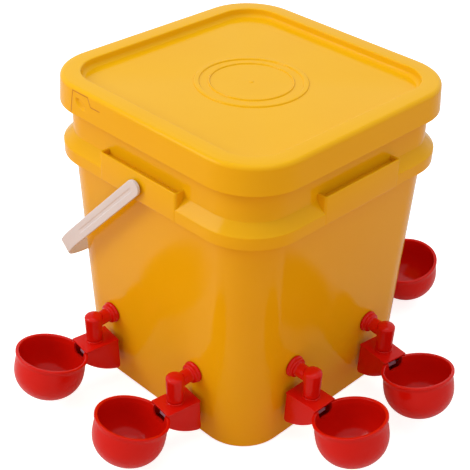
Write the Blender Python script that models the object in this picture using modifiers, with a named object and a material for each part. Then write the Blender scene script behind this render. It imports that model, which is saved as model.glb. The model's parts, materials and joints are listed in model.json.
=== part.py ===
"""Poultry drinker: a lidded square bucket with six automatic drinking cups on its sides.

The bucket stands on its base at the origin, +Z up.  Its front faces -Y and its right side faces +X.
Water runs through an elbow in the wall into a small valve box, where a float lever lifts a plunger
against its seat once the cup beside the box has filled.  Each cup, box and cover turns on its elbow's stem.
"""

import math

import bmesh
import bpy
from mathutils import Matrix, Vector

MM = 0.001
GAP = 0.3 * MM                      # clearance between pieces that seat on each other

# Bucket wall: a rounded square that widens with height
BASE_HALF = 116.6 * MM
WALL_SLOPE = 0.0375                 # growth of the half width for each unit of height
CORNER_RADIUS = 43.5 * MM           # of the outer wall
WALL = 2.4 * MM
FLOOR = 3.2 * MM
FOOT_FILLET = 3.2 * MM
FOOT_WIDTH = 11.5 * MM
PAD_HALF = 70.0 * MM                # flat pad in the middle of the underside
UNDERSIDE_RECESS = 1.2 * MM
FLOOR_FILLET = 5.0 * MM

# Rim and neck, and under them the collar: a thin skirt that hangs round the bucket
BUCKET_TOP = 307.0 * MM
NECK_HEIGHT = 49.5 * MM             # from the collar to the rim's top
SHOULDER_HEIGHT = 9.8 * MM          # of the collar's slope
COLLAR_HEIGHT = 12.0 * MM           # of its upright face
COLLAR_OVERHANG = 9.3 * MM          # beyond the neck
BEAD_OUT = 2.9 * MM                 # the rim's bead beyond the neck
BEAD_HEIGHT = 7.0 * MM
BEAD_BEVEL = 1.0 * MM

# Raised panels in the middle of each side, with an open trough behind
PANEL_HALF = 49.0 * MM
PANEL_RISE = 6.3 * MM               # above the foot of the neck
PANEL_LIFT = 0.6 * MM               # above the collar's lower edge
PANEL_PROUD = 0.4 * MM
PANEL_WALL = 2.5 * MM

# Lid
LID_RISE = 6.0 * MM                 # its top, above the rim's
LID_OVERHANG = 8.74 * MM            # beyond the neck, at the top of the skirt
LID_FLARE = 1.6 * MM                # of the skirt, from top to bottom
LID_WALL = 2.3 * MM
LID_FILLET = 4.0 * MM
SKIRT_HEIGHT = 26.0 * MM
RIM_WIDTH = 18.2 * MM
RECESS_DEPTH = 8.5 * MM
RECESS_FILLET = 5.0 * MM
PLUG_DEPTH = 10.0 * MM
PLUG_WALL = 2.0 * MM
RIDGE_HEIGHT = 0.7 * MM
RIDGE_BANDS = ((46.5 * MM, 52.0 * MM), (36.9 * MM, 39.1 * MM))   # inner and outer radius of each ridge
GASKET_WIDTH = 6.6 * MM
THUMB_WIDTH = 12.0 * MM             # oval thumb recess of the tear tab
THUMB_HEIGHT = 9.0 * MM
THUMB_DEPTH = 1.2 * MM
THUMB_PLACE = -72.0 * MM            # along the front
THUMB_DROP = 12.0 * MM              # below the lid's top

# Bail: a flat strap bent to a U, which lies in a plane through its pivots
BAIL_WIDTH = 15.0 * MM
BAIL_THICK = 3.5 * MM
BAIL_GAP = 1.5 * MM                 # from the panel
BAIL_HANG = math.radians(46.0)      # below level, towards -X
BAIL_BEND_ALONG = 82.0 * MM         # half axes of the bends' ellipse
BAIL_BEND_ACROSS = 64.0 * MM
BAIL_STUB = 4.0 * MM                # straight run between each arm's node and its bend
PIVOT_RISE = 14.3 * MM              # above the collar's lower edge
PIVOT_RADIUS = 4.0 * MM
PIVOT_LENGTH = 6.0 * MM             # into the panel
EAR_RADIUS = 7.0 * MM               # boss behind the panel
GRIP_LENGTH = 92.0 * MM
GRIP_WIDTH = 20.0 * MM
GRIP_THICK = 22.7 * MM             # from the strap's outside inwards
GRIP_ROUND = 4.0 * MM
GRIP_PROUD = 1.0 * MM               # beyond the strap's outside
GROOVE_WIDTH = 2.4 * MM
GROOVE_DEPTH = 0.8 * MM
GROOVE_START = 3.0 * MM
GROOVE_LENGTH = 108.0 * MM

# Tap holes: side, place along it, height, and the turn of the cup on its stem
TAPS = {
    "front_left": ("front", -60.9 * MM, 75.8 * MM, math.radians(-8.4)),
    "front_right": ("front", 54.7 * MM, 71.6 * MM, math.radians(-7.4)),
    "right_front": ("right", -57.1 * MM, 82.6 * MM, math.radians(-0.4)),
    "right_back": ("right", 47.9 * MM, 78.6 * MM, math.radians(-8.0)),
    "back_right": ("back", 60.2 * MM, 70.2 * MM, 0.0),
    "back_left": ("back", -60.2 * MM, 74.0 * MM, 0.0),
}

# Elbow
PIPE_RADIUS = 5.5 * MM
PIPE_BORE = 3.2 * MM
PIPE_INSIDE = 12.0 * MM             # length inside the bucket
FLANGE_RADIUS = 10.6 * MM
FLANGE_THICK = 2.6 * MM             # with the recess that holds the washer
FLARE_LENGTH = 6.5 * MM
STEM_REACH = 23.7 * MM              # from the wall to the stem's axis
STEM_TOP = 9.0 * MM                 # above the tap hole
STEM_RADIUS_TOP = 8.6 * MM
STEM_RADIUS_FOOT = 7.7 * MM
STEM_BORE = 4.3 * MM
DOME_HEIGHT = 4.0 * MM
WASHER_THICK = 1.2 * MM
WASHER_INSET = 1.8 * MM             # inside the flange's edge
NUT_RADIUS = 10.5 * MM
NUT_THICK = 6.0 * MM

# Cover plate of the valve box; reaches and backs from here on are measured from the stem's axis
COVER_DROP = 21.7 * MM              # its top, below the tap hole
COVER_THICK = 2.0 * MM
COVER_HALF = 13.5 * MM
COVER_BACK = 19.1 * MM
COVER_REACH = 17.0 * MM
BOSS_RADIUS = 8.4 * MM
BOSS_HEIGHT = 1.8 * MM
SPIGOT_HEIGHT = 9.0 * MM
SEAT_RADIUS = 4.2 * MM
SEAT_DROP = 3.5 * MM                # below the cover
WATERWAY = 2.3 * MM

# Valve box beside the cup
BOX_HALF = 12.6 * MM
BOX_WALL = 1.8 * MM
BOX_BACK = 18.9 * MM                # at the top
BOX_LEAN = 1.5 * MM                 # of its back, towards the wall at the bottom
BOX_DROP = 57.3 * MM                # its bottom, below the tap hole
BOX_CORNER = 3.0 * MM
BELLY_REACH = 5.0 * MM              # control point of the bottom's curve
BELLY_DROP = 57.0 * MM
NOSE_REACH = 21.5 * MM              # where that curve ends, inside the cup
NOSE_DROP = 34.0 * MM

# Cup
CUP_REACH = 45.9 * MM               # the rim's centre
CUP_DROP = 16.7 * MM                # the rim's centre, below the tap hole
CUP_TILT = math.radians(13.7)       # towards the bucket
CUP_RIM = 34.3 * MM
CUP_WAIST = 32.7 * MM               # radius just under the lip
CUP_BELLY = 33.3 * MM
CUP_LIP = 4.5 * MM                  # height of the flared lip
CUP_STRAIGHT = 16.4 * MM
CUP_DEPTH = 45.8 * MM
CUP_WALL = 1.7 * MM
LIP_ROUND = 0.8 * MM
WINDOW_HALF = 7.5 * MM
WINDOW_DROP = 38.0 * MM             # its lowest point, below the tap hole

# Float lever, its pin and the plunger
PIN_REACH = 11.3 * MM
PIN_DROP = 32.1 * MM
PIN_RADIUS = 0.9 * MM
PIN_CLEARANCE = 0.25 * MM
HUB_RADIUS = 2.3 * MM
HUB_HALF = 5.0 * MM
LEVER_HALF = 3.0 * MM
LEVER_THICK = 1.8 * MM
FLOAT_HALF = 8.6 * MM
FLOAT_BACK = 15.7 * MM              # its two ends, both behind the stem's axis
FLOAT_FRONT = 4.7 * MM
FLOAT_HEIGHT = 13.0 * MM
FLOAT_ROUND = 1.5 * MM
PLUNGER_RADIUS = 3.4 * MM
PLUNGER_HEAD = 1.6 * MM
PLUNGER_FOOT = 1.2 * MM             # radius
PLUNGER_FOOT_LENGTH = 1.0 * MM
PLUNGER_GUIDE = 1.3 * MM
PLUNGER_TRAVEL = 2.2 * MM
LEVER_GAP = 0.5 * MM                # under the plunger's foot

# Facets
CORNER_STEPS = 5
CUP_STEPS = 18
PIPE_STEPS = 10
STEM_STEPS = 10
PIVOT_STEPS = 12                    # enough for a pin of this size to turn in its bore
SMALL_STEPS = 8
RIDGE_STEPS = 28
BOWL_STEPS = 4
BEND_STEPS = 8

NECK_BOTTOM = BUCKET_TOP - NECK_HEIGHT
COLLAR_EDGE = NECK_BOTTOM - SHOULDER_HEIGHT
COLLAR_BOTTOM = COLLAR_EDGE - COLLAR_HEIGHT
PANEL_TOP = NECK_BOTTOM + PANEL_RISE
NECK_HALF = BASE_HALF + WALL_SLOPE * NECK_BOTTOM
COLLAR_HALF = NECK_HALF + COLLAR_OVERHANG
PANEL_FACE = COLLAR_HALF + PANEL_PROUD
WALL_LEAN = math.atan(WALL_SLOPE)
LID_TOP = BUCKET_TOP + LID_RISE
LID_HALF = NECK_HALF + LID_OVERHANG
BAIL_ARM = PANEL_FACE + BAIL_GAP + BAIL_THICK / 2
BAIL_PIVOT_HEIGHT = COLLAR_BOTTOM + PIVOT_RISE

# Turn about Z that points a unit's own +Y out of each side
SIDES = {"front": math.pi, "right": -math.pi / 2, "back": 0.0, "left": math.pi / 2}


def wall_half(height):
    """Half width of the outer wall at a height; the neck above it is upright."""
    return BASE_HALF + WALL_SLOPE * min(height, NECK_BOTTOM)


def clear_scene():
    """Remove every object, and make the two collections."""
    for thing in list(bpy.data.objects):
        bpy.data.objects.remove(thing, do_unlink=True)
    collections = []
    for name in ("poultry_drinker", "cutters"):
        collection = bpy.data.collections.get(name) or bpy.data.collections.new(name)
        if collection.name not in bpy.context.scene.collection.children:
            bpy.context.scene.collection.children.link(collection)
        collections.append(collection)
    return collections


PARTS, CUTTERS = clear_scene()


def make_material(name, colour, roughness, metallic=0.0):
    """Principled material of one plain colour."""
    material = bpy.data.materials.new(name)
    material.use_nodes = True
    shader = material.node_tree.nodes["Principled BSDF"]
    shader.inputs["Base Color"].default_value = (*colour, 1.0)
    shader.inputs["Roughness"].default_value = roughness
    shader.inputs["Metallic"].default_value = metallic
    return material


YELLOW = ("yellow_polypropylene", (0.85, 0.43, 0.01), 0.32)
RED = ("red_plastic", (0.58, 0.008, 0.005), 0.28)
WHITE = ("white_plastic", (0.80, 0.79, 0.80), 0.38)
PALE = ("float_plastic", (0.72, 0.42, 0.45), 0.4)
RUBBER = ("black_rubber", (0.02, 0.02, 0.02), 0.7)
STEEL = ("pin_steel", (0.6, 0.6, 0.62), 0.3, 1.0)


def new_object(name, mesh, collection=CUTTERS):
    """Put a mesh into the scene under a name."""
    thing = bpy.data.objects.new(name, mesh)
    collection.objects.link(thing)
    if collection is CUTTERS:
        thing.hide_render = True
        thing.display_type = "WIRE"
    return thing


def mesh_from(name, build):
    """Make a working object from a function that fills a bmesh."""
    mesh = bpy.data.meshes.new(name)
    work = bmesh.new()
    build(work)
    bmesh.ops.recalc_face_normals(work, faces=work.faces)
    work.to_mesh(mesh)
    work.free()
    return new_object(name, mesh)


def box(name, low, high):
    """Box between two corners."""
    low, high = Vector(low), Vector(high)

    def build(work):
        size = high - low
        place = Matrix.Translation((low + high) / 2) @ Matrix.Diagonal((*size, 1.0))
        bmesh.ops.create_cube(work, size=1.0, matrix=place)

    return mesh_from(name, build)


def rod(name, start, end, radius, steps=PIPE_STEPS, end_radius=None):
    """Round rod or cone between two points, closed at both ends."""
    start, end = Vector(start), Vector(end)
    run = end - start
    turn = run.to_track_quat("Z", "Y").to_matrix().to_4x4()

    def build(work):
        bmesh.ops.create_cone(work, cap_ends=True, segments=steps, radius1=radius,
                              radius2=radius if end_radius is None else end_radius,
                              depth=run.length, matrix=Matrix.Translation((start + end) / 2) @ turn)

    return mesh_from(name, build)


def turned(name, profile, steps, matrix=Matrix.Identity(4)):
    """Solid of revolution: (radius, height) points from the top down the outer side, by a Screw modifier."""
    mesh = bpy.data.meshes.new(name)
    points = [(radius, 0.0, height) for radius, height in profile]
    edges = [(i, i + 1) for i in range(len(points) - 1)]
    if profile[0][0] > 0.0:
        edges.append((len(points) - 1, 0))
    mesh.from_pydata(points, edges, [])
    thing = new_object(name, mesh)
    screw = thing.modifiers.new("turn", "SCREW")
    screw.steps = steps
    screw.render_steps = steps
    screw.use_merge_vertices = True
    screw.merge_threshold = 0.00001
    bake(thing)
    thing.data.transform(matrix)
    return thing


def plate(name, points, half_thickness):
    """Plate with an outline of (x, y) points, extruded both ways along Z."""
    curve = bpy.data.curves.new(name, "CURVE")
    curve.dimensions = "2D"
    curve.fill_mode = "BOTH"
    curve.extrude = half_thickness
    spline = curve.splines.new("POLY")
    spline.points.add(len(points) - 1)
    for point, (across, up) in zip(spline.points, points):
        point.co = (across, up, 0.0, 1.0)
    spline.use_cyclic_u = True
    guide = new_object(name + "_outline", curve)
    thing = new_object(name, bpy.data.meshes.new_from_object(guide.evaluated_get(depsgraph())))
    bpy.data.objects.remove(guide)
    weld(thing)
    return thing


def side_plate(name, points, half_width):
    """Plate with an outline of (y, z) points, extruded both ways along X."""
    # the outline's own X, Y and Z become Y, Z and X
    return moved(plate(name, points, half_width),
                 Matrix(((0, 0, 1, 0), (1, 0, 0, 0), (0, 1, 0, 0), (0, 0, 0, 1))))


def depsgraph():
    """Fresh dependency graph."""
    bpy.context.view_layer.update()
    return bpy.context.evaluated_depsgraph_get()


def bake(thing):
    """Apply an object's modifiers to its mesh."""
    mesh = bpy.data.meshes.new_from_object(thing.evaluated_get(depsgraph()))
    thing.modifiers.clear()
    thing.data = mesh


def weld(thing):
    """Merge doubled points and point the faces outwards."""
    work = bmesh.new()
    work.from_mesh(thing.data)
    bmesh.ops.remove_doubles(work, verts=work.verts, dist=0.000005)
    bmesh.ops.recalc_face_normals(work, faces=work.faces)
    work.to_mesh(thing.data)
    work.free()


def combine(thing, others, operation):
    """Join the others to a solid, or cut them from it, and remove them."""
    for other in others:
        step = thing.modifiers.new("step", "BOOLEAN")
        step.operation = operation
        step.solver = "EXACT"
        step.object = other
    bake(thing)
    for other in others:
        bpy.data.objects.remove(other, do_unlink=True)
    return thing


def join(thing, *others):
    """Union of solids."""
    return combine(thing, others, "UNION")


def cut(thing, *others):
    """A solid less its cutters."""
    return combine(thing, others, "DIFFERENCE")


def moved(thing, matrix):
    """Move an object's mesh."""
    thing.data.transform(matrix)
    return thing


def publish(thing, name, finish, smooth_angle=35.0):
    """Turn a working object into a named part with its own material."""
    thing.name = name
    CUTTERS.objects.unlink(thing)
    PARTS.objects.link(thing)
    thing.hide_render = False
    thing.display_type = "TEXTURED"
    dress(thing, finish, smooth_angle)
    return thing


def dress(thing, finish, smooth_angle=35.0):
    """Shade a part and give it a material."""
    thing.data.materials.clear()
    thing.data.materials.append(make_material(f"{thing.name}_{finish[0]}", *finish[1:]))
    thing.data.shade_smooth()
    thing.data.set_sharp_from_angle(angle=math.radians(smooth_angle))


def rounded_square(half, height):
    """Ring of points; its corners share their centres with the wall's at that height."""
    radius = max(CORNER_RADIUS + half - wall_half(height), 8 * MM)
    centre = half - radius
    ring = []
    for quarter in range(4):
        turn = quarter * math.pi / 2
        corner = Matrix.Rotation(turn, 3, "Z") @ Vector((centre, centre, 0.0))
        for step in range(CORNER_STEPS + 1):
            angle = turn + step / CORNER_STEPS * math.pi / 2
            ring.append((corner.x + radius * math.cos(angle), corner.y + radius * math.sin(angle), height))
    return ring


def loft(name, profile, loop=False):
    """Solid through rounded squares, given as (half width, height); capped, or closed on itself as a loop."""
    rings = [rounded_square(half, height) for half, height in profile]

    def build(work):
        loops = [[work.verts.new(point) for point in ring] for ring in rings]
        pairs = list(zip(loops, loops[1:]))
        if loop:
            pairs.append((loops[-1], loops[0]))
        else:
            work.faces.new(loops[0])
            work.faces.new(loops[-1])
        for lower, upper in pairs:
            for i in range(len(lower)):
                j = (i + 1) % len(lower)
                work.faces.new((lower[i], lower[j], upper[j], upper[i]))

    return mesh_from(name, build)


def arc(centre, radius, start, end, steps, squash=1.0):
    """Points on an arc, by angles in degrees; squash scales its height."""
    points = []
    for step in range(steps + 1):
        angle = math.radians(start + (end - start) * step / steps)
        points.append((centre[0] + radius * math.cos(angle), centre[1] + squash * radius * math.sin(angle)))
    return points


def side_matrix(side):
    """Turn that brings a unit from the back face, +Y, to another side."""
    return Matrix.Rotation(SIDES[side], 4, "Z")


def tap_matrix(side, along, height):
    """Frame of a tap hole: +Y out of the side, origin on the wall's outer face.

    Places along a side run with the world's +X or +Y, which the frame's own +X may oppose.
    """
    out = side_matrix(side)
    own_x = out.to_3x3() @ Vector((1.0, 0.0, 0.0))
    sense = round(own_x.x + own_x.y)
    return out @ Matrix.Translation((along * sense, wall_half(height), height))


def cup_matrix(swivel):
    """Frame of a cup, in its tap's: on the stem's axis, turned about it."""
    return Matrix.Translation((0, STEM_REACH, 0)) @ Matrix.Rotation(swivel, 4, "Z")


# In a tap's frame: square to the sloped wall, and from an upright axis to one along +Y
SQUARE_TO_WALL = Matrix.Rotation(-WALL_LEAN, 4, "X")
ALONG_Y = Matrix.Rotation(-math.pi / 2, 4, "X")


def bucket_profile():
    """(half width, height) round the bucket's section, from the underside's middle to the floor's."""
    shoulder = (COLLAR_OVERHANG ** 2 + (NECK_BOTTOM - COLLAR_EDGE) ** 2) ** 0.5
    under = WALL * shoulder / COLLAR_OVERHANG
    foot = BASE_HALF - FOOT_FILLET
    outer = [
        (PAD_HALF - 2 * UNDERSIDE_RECESS, 0.0),
        (PAD_HALF, UNDERSIDE_RECESS),
        (foot - FOOT_WIDTH, UNDERSIDE_RECESS),
        (foot - FOOT_WIDTH + 2 * UNDERSIDE_RECESS, 0.0),
        (foot, 0.0),
        (foot + 0.7 * FOOT_FILLET, 0.3 * FOOT_FILLET),
        (wall_half(FOOT_FILLET), FOOT_FILLET),
        (wall_half(NECK_BOTTOM - under), NECK_BOTTOM - under),
        (COLLAR_HALF - WALL, COLLAR_EDGE - under + WALL),
        (COLLAR_HALF - WALL, COLLAR_BOTTOM),
        (COLLAR_HALF, COLLAR_BOTTOM),
        (COLLAR_HALF, COLLAR_EDGE - 0.8 * MM),
        (COLLAR_HALF - 0.8 * MM, COLLAR_EDGE + 0.6 * MM),
        (NECK_HALF, NECK_BOTTOM),
        (NECK_HALF, BUCKET_TOP - BEAD_HEIGHT),
        (NECK_HALF + BEAD_OUT, BUCKET_TOP - BEAD_HEIGHT + BEAD_OUT / 2),
        (NECK_HALF + BEAD_OUT, BUCKET_TOP - BEAD_BEVEL),
        (NECK_HALF + BEAD_OUT - BEAD_BEVEL, BUCKET_TOP),
    ]
    inside = NECK_HALF - WALL
    fillet_top = FLOOR + FLOOR_FILLET
    inner = [
        (inside + BEAD_BEVEL, BUCKET_TOP),
        (inside, BUCKET_TOP - BEAD_BEVEL),
        (inside, NECK_BOTTOM),
        (wall_half(fillet_top) - WALL, fillet_top),
        (wall_half(FLOOR) - WALL - 0.3 * FLOOR_FILLET, FLOOR + 0.3 * FLOOR_FILLET),
        (wall_half(FLOOR) - WALL - FLOOR_FILLET, FLOOR),
    ]
    return outer + inner


def panel(side):
    """Raised panel with its two ends, open behind."""
    reach = NECK_HALF - 0.7 * WALL
    low = COLLAR_BOTTOM + PANEL_LIFT
    plate = box("panel", (-PANEL_HALF, reach, low), (PANEL_HALF, PANEL_FACE, PANEL_TOP))
    inside = box("trough", (PANEL_WALL - PANEL_HALF, reach - WALL, low - WALL),
                 (PANEL_HALF - PANEL_WALL, PANEL_FACE - PANEL_WALL, PANEL_TOP + WALL))
    cut(plate, inside)
    return moved(plate, side_matrix(side))


def make_bucket():
    """Bucket with its collar, panels, bail ears and tap holes."""
    bucket = loft("bucket", bucket_profile())
    join(bucket, *[panel(side) for side in SIDES])
    ears = []
    bores = []
    for sign in (-1, 1):
        face = sign * PANEL_FACE
        back = sign * (NECK_HALF - 0.5 * WALL)
        ears.append(rod("ear", (0, face - sign * PANEL_WALL / 2, BAIL_PIVOT_HEIGHT),
                        (0, back, BAIL_PIVOT_HEIGHT), EAR_RADIUS))
        depth = PIVOT_LENGTH + 2 * GAP
        bores.append(rod("bore", (0, face + sign * MM, BAIL_PIVOT_HEIGHT),
                         (0, face - sign * depth, BAIL_PIVOT_HEIGHT), PIVOT_RADIUS + GAP, PIVOT_STEPS))
    join(bucket, *ears)
    cut(bucket, *bores)
    holes = []
    for side, along, height, _ in TAPS.values():
        hole = rod("tap_hole", (0, 2 * WALL, 0), (0, -2 * WALL, 0), PIPE_RADIUS + GAP)
        holes.append(moved(hole, tap_matrix(side, along, height) @ SQUARE_TO_WALL))
    cut(bucket, *holes)
    return publish(bucket, "bucket", YELLOW)


def lid_profile():
    """(half width, height) round the lid's section, from the panel's top to its underside."""
    recess = LID_HALF - RIM_WIDTH
    floor = LID_TOP - RECESS_DEPTH
    bottom = LID_TOP - SKIRT_HEIGHT
    skirt = LID_HALF + LID_FLARE
    ceiling = LID_TOP - LID_WALL
    plug = NECK_HALF - WALL - GAP
    top = [(recess - RECESS_FILLET, floor), (recess - 0.45 * RECESS_FILLET, floor + 0.12 * RECESS_FILLET),
           (recess - 0.1 * RECESS_FILLET, floor + 0.5 * RECESS_FILLET), (recess, LID_TOP - 0.8 * MM),
           (recess + 0.8 * MM, LID_TOP)]
    edge = arc((LID_HALF - LID_FILLET, LID_TOP - LID_FILLET), LID_FILLET, 90, 0, 4)
    under = [
        (skirt, bottom + 0.5 * MM),
        (skirt - 0.5 * MM, bottom),
        (skirt - LID_WALL, bottom),
        (LID_HALF - LID_WALL, ceiling),
        (plug, ceiling),
        (plug, ceiling - PLUG_DEPTH),
        (plug - PLUG_WALL, ceiling - PLUG_DEPTH),
        (plug - PLUG_WALL, ceiling),
        (recess + LID_WALL, ceiling),
        (recess + LID_WALL, floor + 0.4 * RECESS_FILLET - LID_WALL),
        (recess + LID_WALL - 0.4 * RECESS_FILLET, floor - LID_WALL),
        (recess - RECESS_FILLET, floor - LID_WALL),
    ]
    return top + edge + under


def ridge(inner, outer):
    """Raised ring on the lid's panel."""
    floor = LID_TOP - RECESS_DEPTH
    bevel = 0.5 * (outer - inner) if outer - inner < 3 * MM else 0.8 * MM
    profile = [(outer - bevel, floor + RIDGE_HEIGHT), (outer, floor - 0.5 * LID_WALL),
               (inner, floor - 0.5 * LID_WALL), (inner + bevel, floor + RIDGE_HEIGHT)]
    if profile[0][0] <= profile[-1][0]:
        profile = profile[:-1]
    return turned("ridge", profile, RIDGE_STEPS)


def make_lid():
    """Lid with its recessed panel, skirt, sealing plug, ridges and thumb recess."""
    lid = loft("lid", lid_profile())
    join(lid, *[ridge(*band) for band in RIDGE_BANDS])
    # the skirt flares, so the recess is measured from its face at the recess's height
    face = LID_HALF + LID_FLARE * THUMB_DROP / SKIRT_HEIGHT
    thumb = rod("thumb", (0, -face - MM, 0), (0, THUMB_DEPTH - face, 0), THUMB_HEIGHT / 2, 20)
    moved(thumb, Matrix.Translation((THUMB_PLACE, 0, LID_TOP - THUMB_DROP))
          @ Matrix.Diagonal((THUMB_WIDTH / THUMB_HEIGHT, 1, 1, 1)))
    cut(lid, thumb)
    return publish(lid, "lid", YELLOW)


def make_gasket():
    """Rubber ring in the lid's channel, over the bucket's rim."""
    low = BUCKET_TOP + GAP
    high = LID_TOP - LID_WALL - GAP
    inner = NECK_HALF - WALL + GAP
    outer = inner + GASKET_WIDTH
    gasket = loft("gasket", [(inner, low), (outer, low), (outer, high), (inner, high)], loop=True)
    return publish(gasket, "lid_gasket", RUBBER)


def bail_half_outline(offset):
    """(along, across) points of one bend from its arm's end, offset inwards from the strap's outside."""
    bend_start = bail_reach() - BAIL_BEND_ALONG
    arm_face = BAIL_ARM + BAIL_THICK / 2
    points = [(bend_start - BAIL_STUB, arm_face - offset)]
    for step in range(BEND_STEPS + 1):
        angle = math.pi / 2 * step / BEND_STEPS
        points.append((bend_start + (BAIL_BEND_ALONG - offset) * math.sin(angle),
                       arm_face - BAIL_BEND_ACROSS + (BAIL_BEND_ACROSS - offset) * math.cos(angle)))
    return points


def grip_inner_reach():
    """Reach along the arms at which the grip's lower inner edge rests on the sloped wall."""
    cosine, sine = math.cos(BAIL_HANG), math.sin(BAIL_HANG)
    side = GRIP_WIDTH / 2 - GRIP_ROUND
    rest = (GRIP_ROUND + GAP) / math.cos(WALL_LEAN)
    level = BASE_HALF + WALL_SLOPE * (BAIL_PIVOT_HEIGHT - side * cosine) + side * sine + rest
    return level / (cosine + WALL_SLOPE * sine) - GRIP_ROUND


def bail_reach():
    """From the pivots to the outside of the strap's cross-bar, with the grip at rest on the wall."""
    return grip_inner_reach() + GRIP_THICK


def make_bail():
    """Bail, round its pivots' axis: one moulding, kept as its bent part with the grip and two straight arms."""
    bends = make_bail_bends()
    arms = [make_bail_arm(sign, name) for sign, name in ((-1, "front"), (1, "back"))]
    for thing in [bends] + arms:
        thing.location = (0, 0, BAIL_PIVOT_HEIGHT)
        thing.rotation_euler = (0, math.pi - BAIL_HANG, 0)


def make_bail_bends():
    """The strap's cross-bar and its two bends, with the grip."""
    outside = bail_half_outline(0.0)
    inside = bail_half_outline(BAIL_THICK)
    loop = outside + [(x, -y) for x, y in reversed(outside)]
    loop += [(x, -y) for x, y in inside] + list(reversed(inside))
    bail = plate("bail", loop, BAIL_WIDTH / 2)
    grip = box("grip", (grip_inner_reach(), -GRIP_LENGTH / 2, -GRIP_WIDTH / 2),
               (bail_reach() + GRIP_PROUD, GRIP_LENGTH / 2, GRIP_WIDTH / 2))
    soften(grip, GRIP_ROUND, 3)
    join(bail, grip)
    return publish(bail, "bail", WHITE)


def make_bail_arm(sign, name):
    """One straight arm with its rounded end, pivot pin and groove."""
    inner, outer = sorted((sign * (BAIL_ARM - BAIL_THICK / 2), sign * (BAIL_ARM + BAIL_THICK / 2)))
    end = bail_reach() - BAIL_BEND_ALONG - BAIL_STUB - GAP
    arm = box("bail_arm", (0, inner, -BAIL_WIDTH / 2), (end, outer, BAIL_WIDTH / 2))
    join(arm,
         rod("end", (0, inner, 0), (0, outer, 0), BAIL_WIDTH / 2, PIVOT_STEPS),
         rod("pin", (0, BAIL_ARM * sign, 0), (0, sign * (PANEL_FACE - PIVOT_LENGTH), 0),
             PIVOT_RADIUS, PIVOT_STEPS))
    face = sign * (BAIL_ARM + BAIL_THICK / 2)
    low, high = sorted((face - sign * GROOVE_DEPTH, face + sign * MM))
    cut(arm, box("groove", (GROOVE_START, low, -GROOVE_WIDTH / 2),
                 (GROOVE_START + GROOVE_LENGTH, high, GROOVE_WIDTH / 2)))
    return publish(arm, f"bail_arm_{name}", WHITE)


def make_elbow():
    """Elbow: threaded pipe through the wall, flange, flare, and a hollow stem with a domed top."""
    recess = 2 * GAP + WASHER_THICK
    flange = GAP + FLANGE_THICK
    recess_radius = FLANGE_RADIUS - WASHER_INSET + GAP
    pipe = turned("pipe", [
        (0.0, STEM_REACH),
        (PIPE_RADIUS, STEM_REACH),
        (PIPE_RADIUS, flange + FLARE_LENGTH),
        (PIPE_RADIUS + 0.25 * (FLANGE_RADIUS - PIPE_RADIUS), flange + 0.35 * FLARE_LENGTH),
        (PIPE_RADIUS + 0.6 * (FLANGE_RADIUS - PIPE_RADIUS), flange + 0.1 * FLARE_LENGTH),
        (FLANGE_RADIUS - FLANGE_THICK / 4, flange),
        (FLANGE_RADIUS, flange - FLANGE_THICK / 4),
        (FLANGE_RADIUS, GAP),
        (recess_radius, GAP),
        (recess_radius, recess),
        (PIPE_RADIUS, recess),
        (PIPE_RADIUS, -PIPE_INSIDE),
        (0.0, -PIPE_INSIDE),
    ], STEM_STEPS, SQUARE_TO_WALL @ ALONG_Y)
    foot = stem_foot()
    shoulder = STEM_TOP - DOME_HEIGHT
    dome = arc((0.0, shoulder), STEM_RADIUS_TOP, 90, 0, 3, DOME_HEIGHT / STEM_RADIUS_TOP)
    stem = turned("stem", [(0.0, STEM_TOP)] + dome[1:] + [(STEM_RADIUS_FOOT, foot), (0.0, foot)],
                  STEM_STEPS, Matrix.Translation((0, STEM_REACH, 0)))
    join(pipe, stem)
    through = moved(rod("through", (0, -PIPE_INSIDE - MM, 0), (0, STEM_REACH, 0), PIPE_BORE, SMALL_STEPS),
                    SQUARE_TO_WALL)
    down = rod("down", (0, STEM_REACH, foot - MM), (0, STEM_REACH, PIPE_BORE), STEM_BORE)
    return cut(pipe, down, through)


def stem_foot():
    """Height of the stem's lower end, on the cover's boss."""
    return BOSS_HEIGHT + GAP - COVER_DROP


def make_washer():
    """Rubber washer in the flange's recess, against the wall."""
    inner, outer = PIPE_RADIUS + GAP, FLANGE_RADIUS - WASHER_INSET
    front = GAP + WASHER_THICK
    return turned("washer", [(outer, front), (outer, GAP), (inner, GAP), (inner, front)],
                  STEM_STEPS, SQUARE_TO_WALL @ ALONG_Y)


def make_nut():
    """Hexagonal lock nut on the pipe's thread, inside the bucket."""
    outer = -WALL - GAP
    nut = rod("nut", (0, outer, 0), (0, outer - NUT_THICK, 0), NUT_RADIUS, 6)
    cut(nut, rod("bore", (0, outer + MM, 0), (0, outer - NUT_THICK - MM, 0), PIPE_RADIUS + GAP, STEM_STEPS))
    return moved(nut, SQUARE_TO_WALL)


def make_cover():
    """Cover of the valve box: plate, boss, spigot up into the stem and valve seat below."""
    under = -COVER_DROP - COVER_THICK
    cover = box("cover", (-COVER_HALF, -COVER_BACK, under), (COVER_HALF, COVER_REACH, -COVER_DROP))
    soften(cover, 0.5 * MM, 1)
    boss = rod("boss", (0, 0, under + COVER_THICK / 2), (0, 0, BOSS_HEIGHT - COVER_DROP),
               BOSS_RADIUS, STEM_STEPS)
    spigot = rod("spigot", (0, 0, -COVER_DROP), (0, 0, SPIGOT_HEIGHT - COVER_DROP), STEM_BORE - GAP)
    seat = rod("seat", (0, 0, under - SEAT_DROP), (0, 0, -COVER_DROP - COVER_THICK / 2), SEAT_RADIUS)
    join(cover, boss, spigot, seat)
    return cut(cover, rod("waterway", (0, 0, under - SEAT_DROP - MM), (0, 0, SPIGOT_HEIGHT - COVER_DROP + MM),
                          WATERWAY, SMALL_STEPS))


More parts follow.
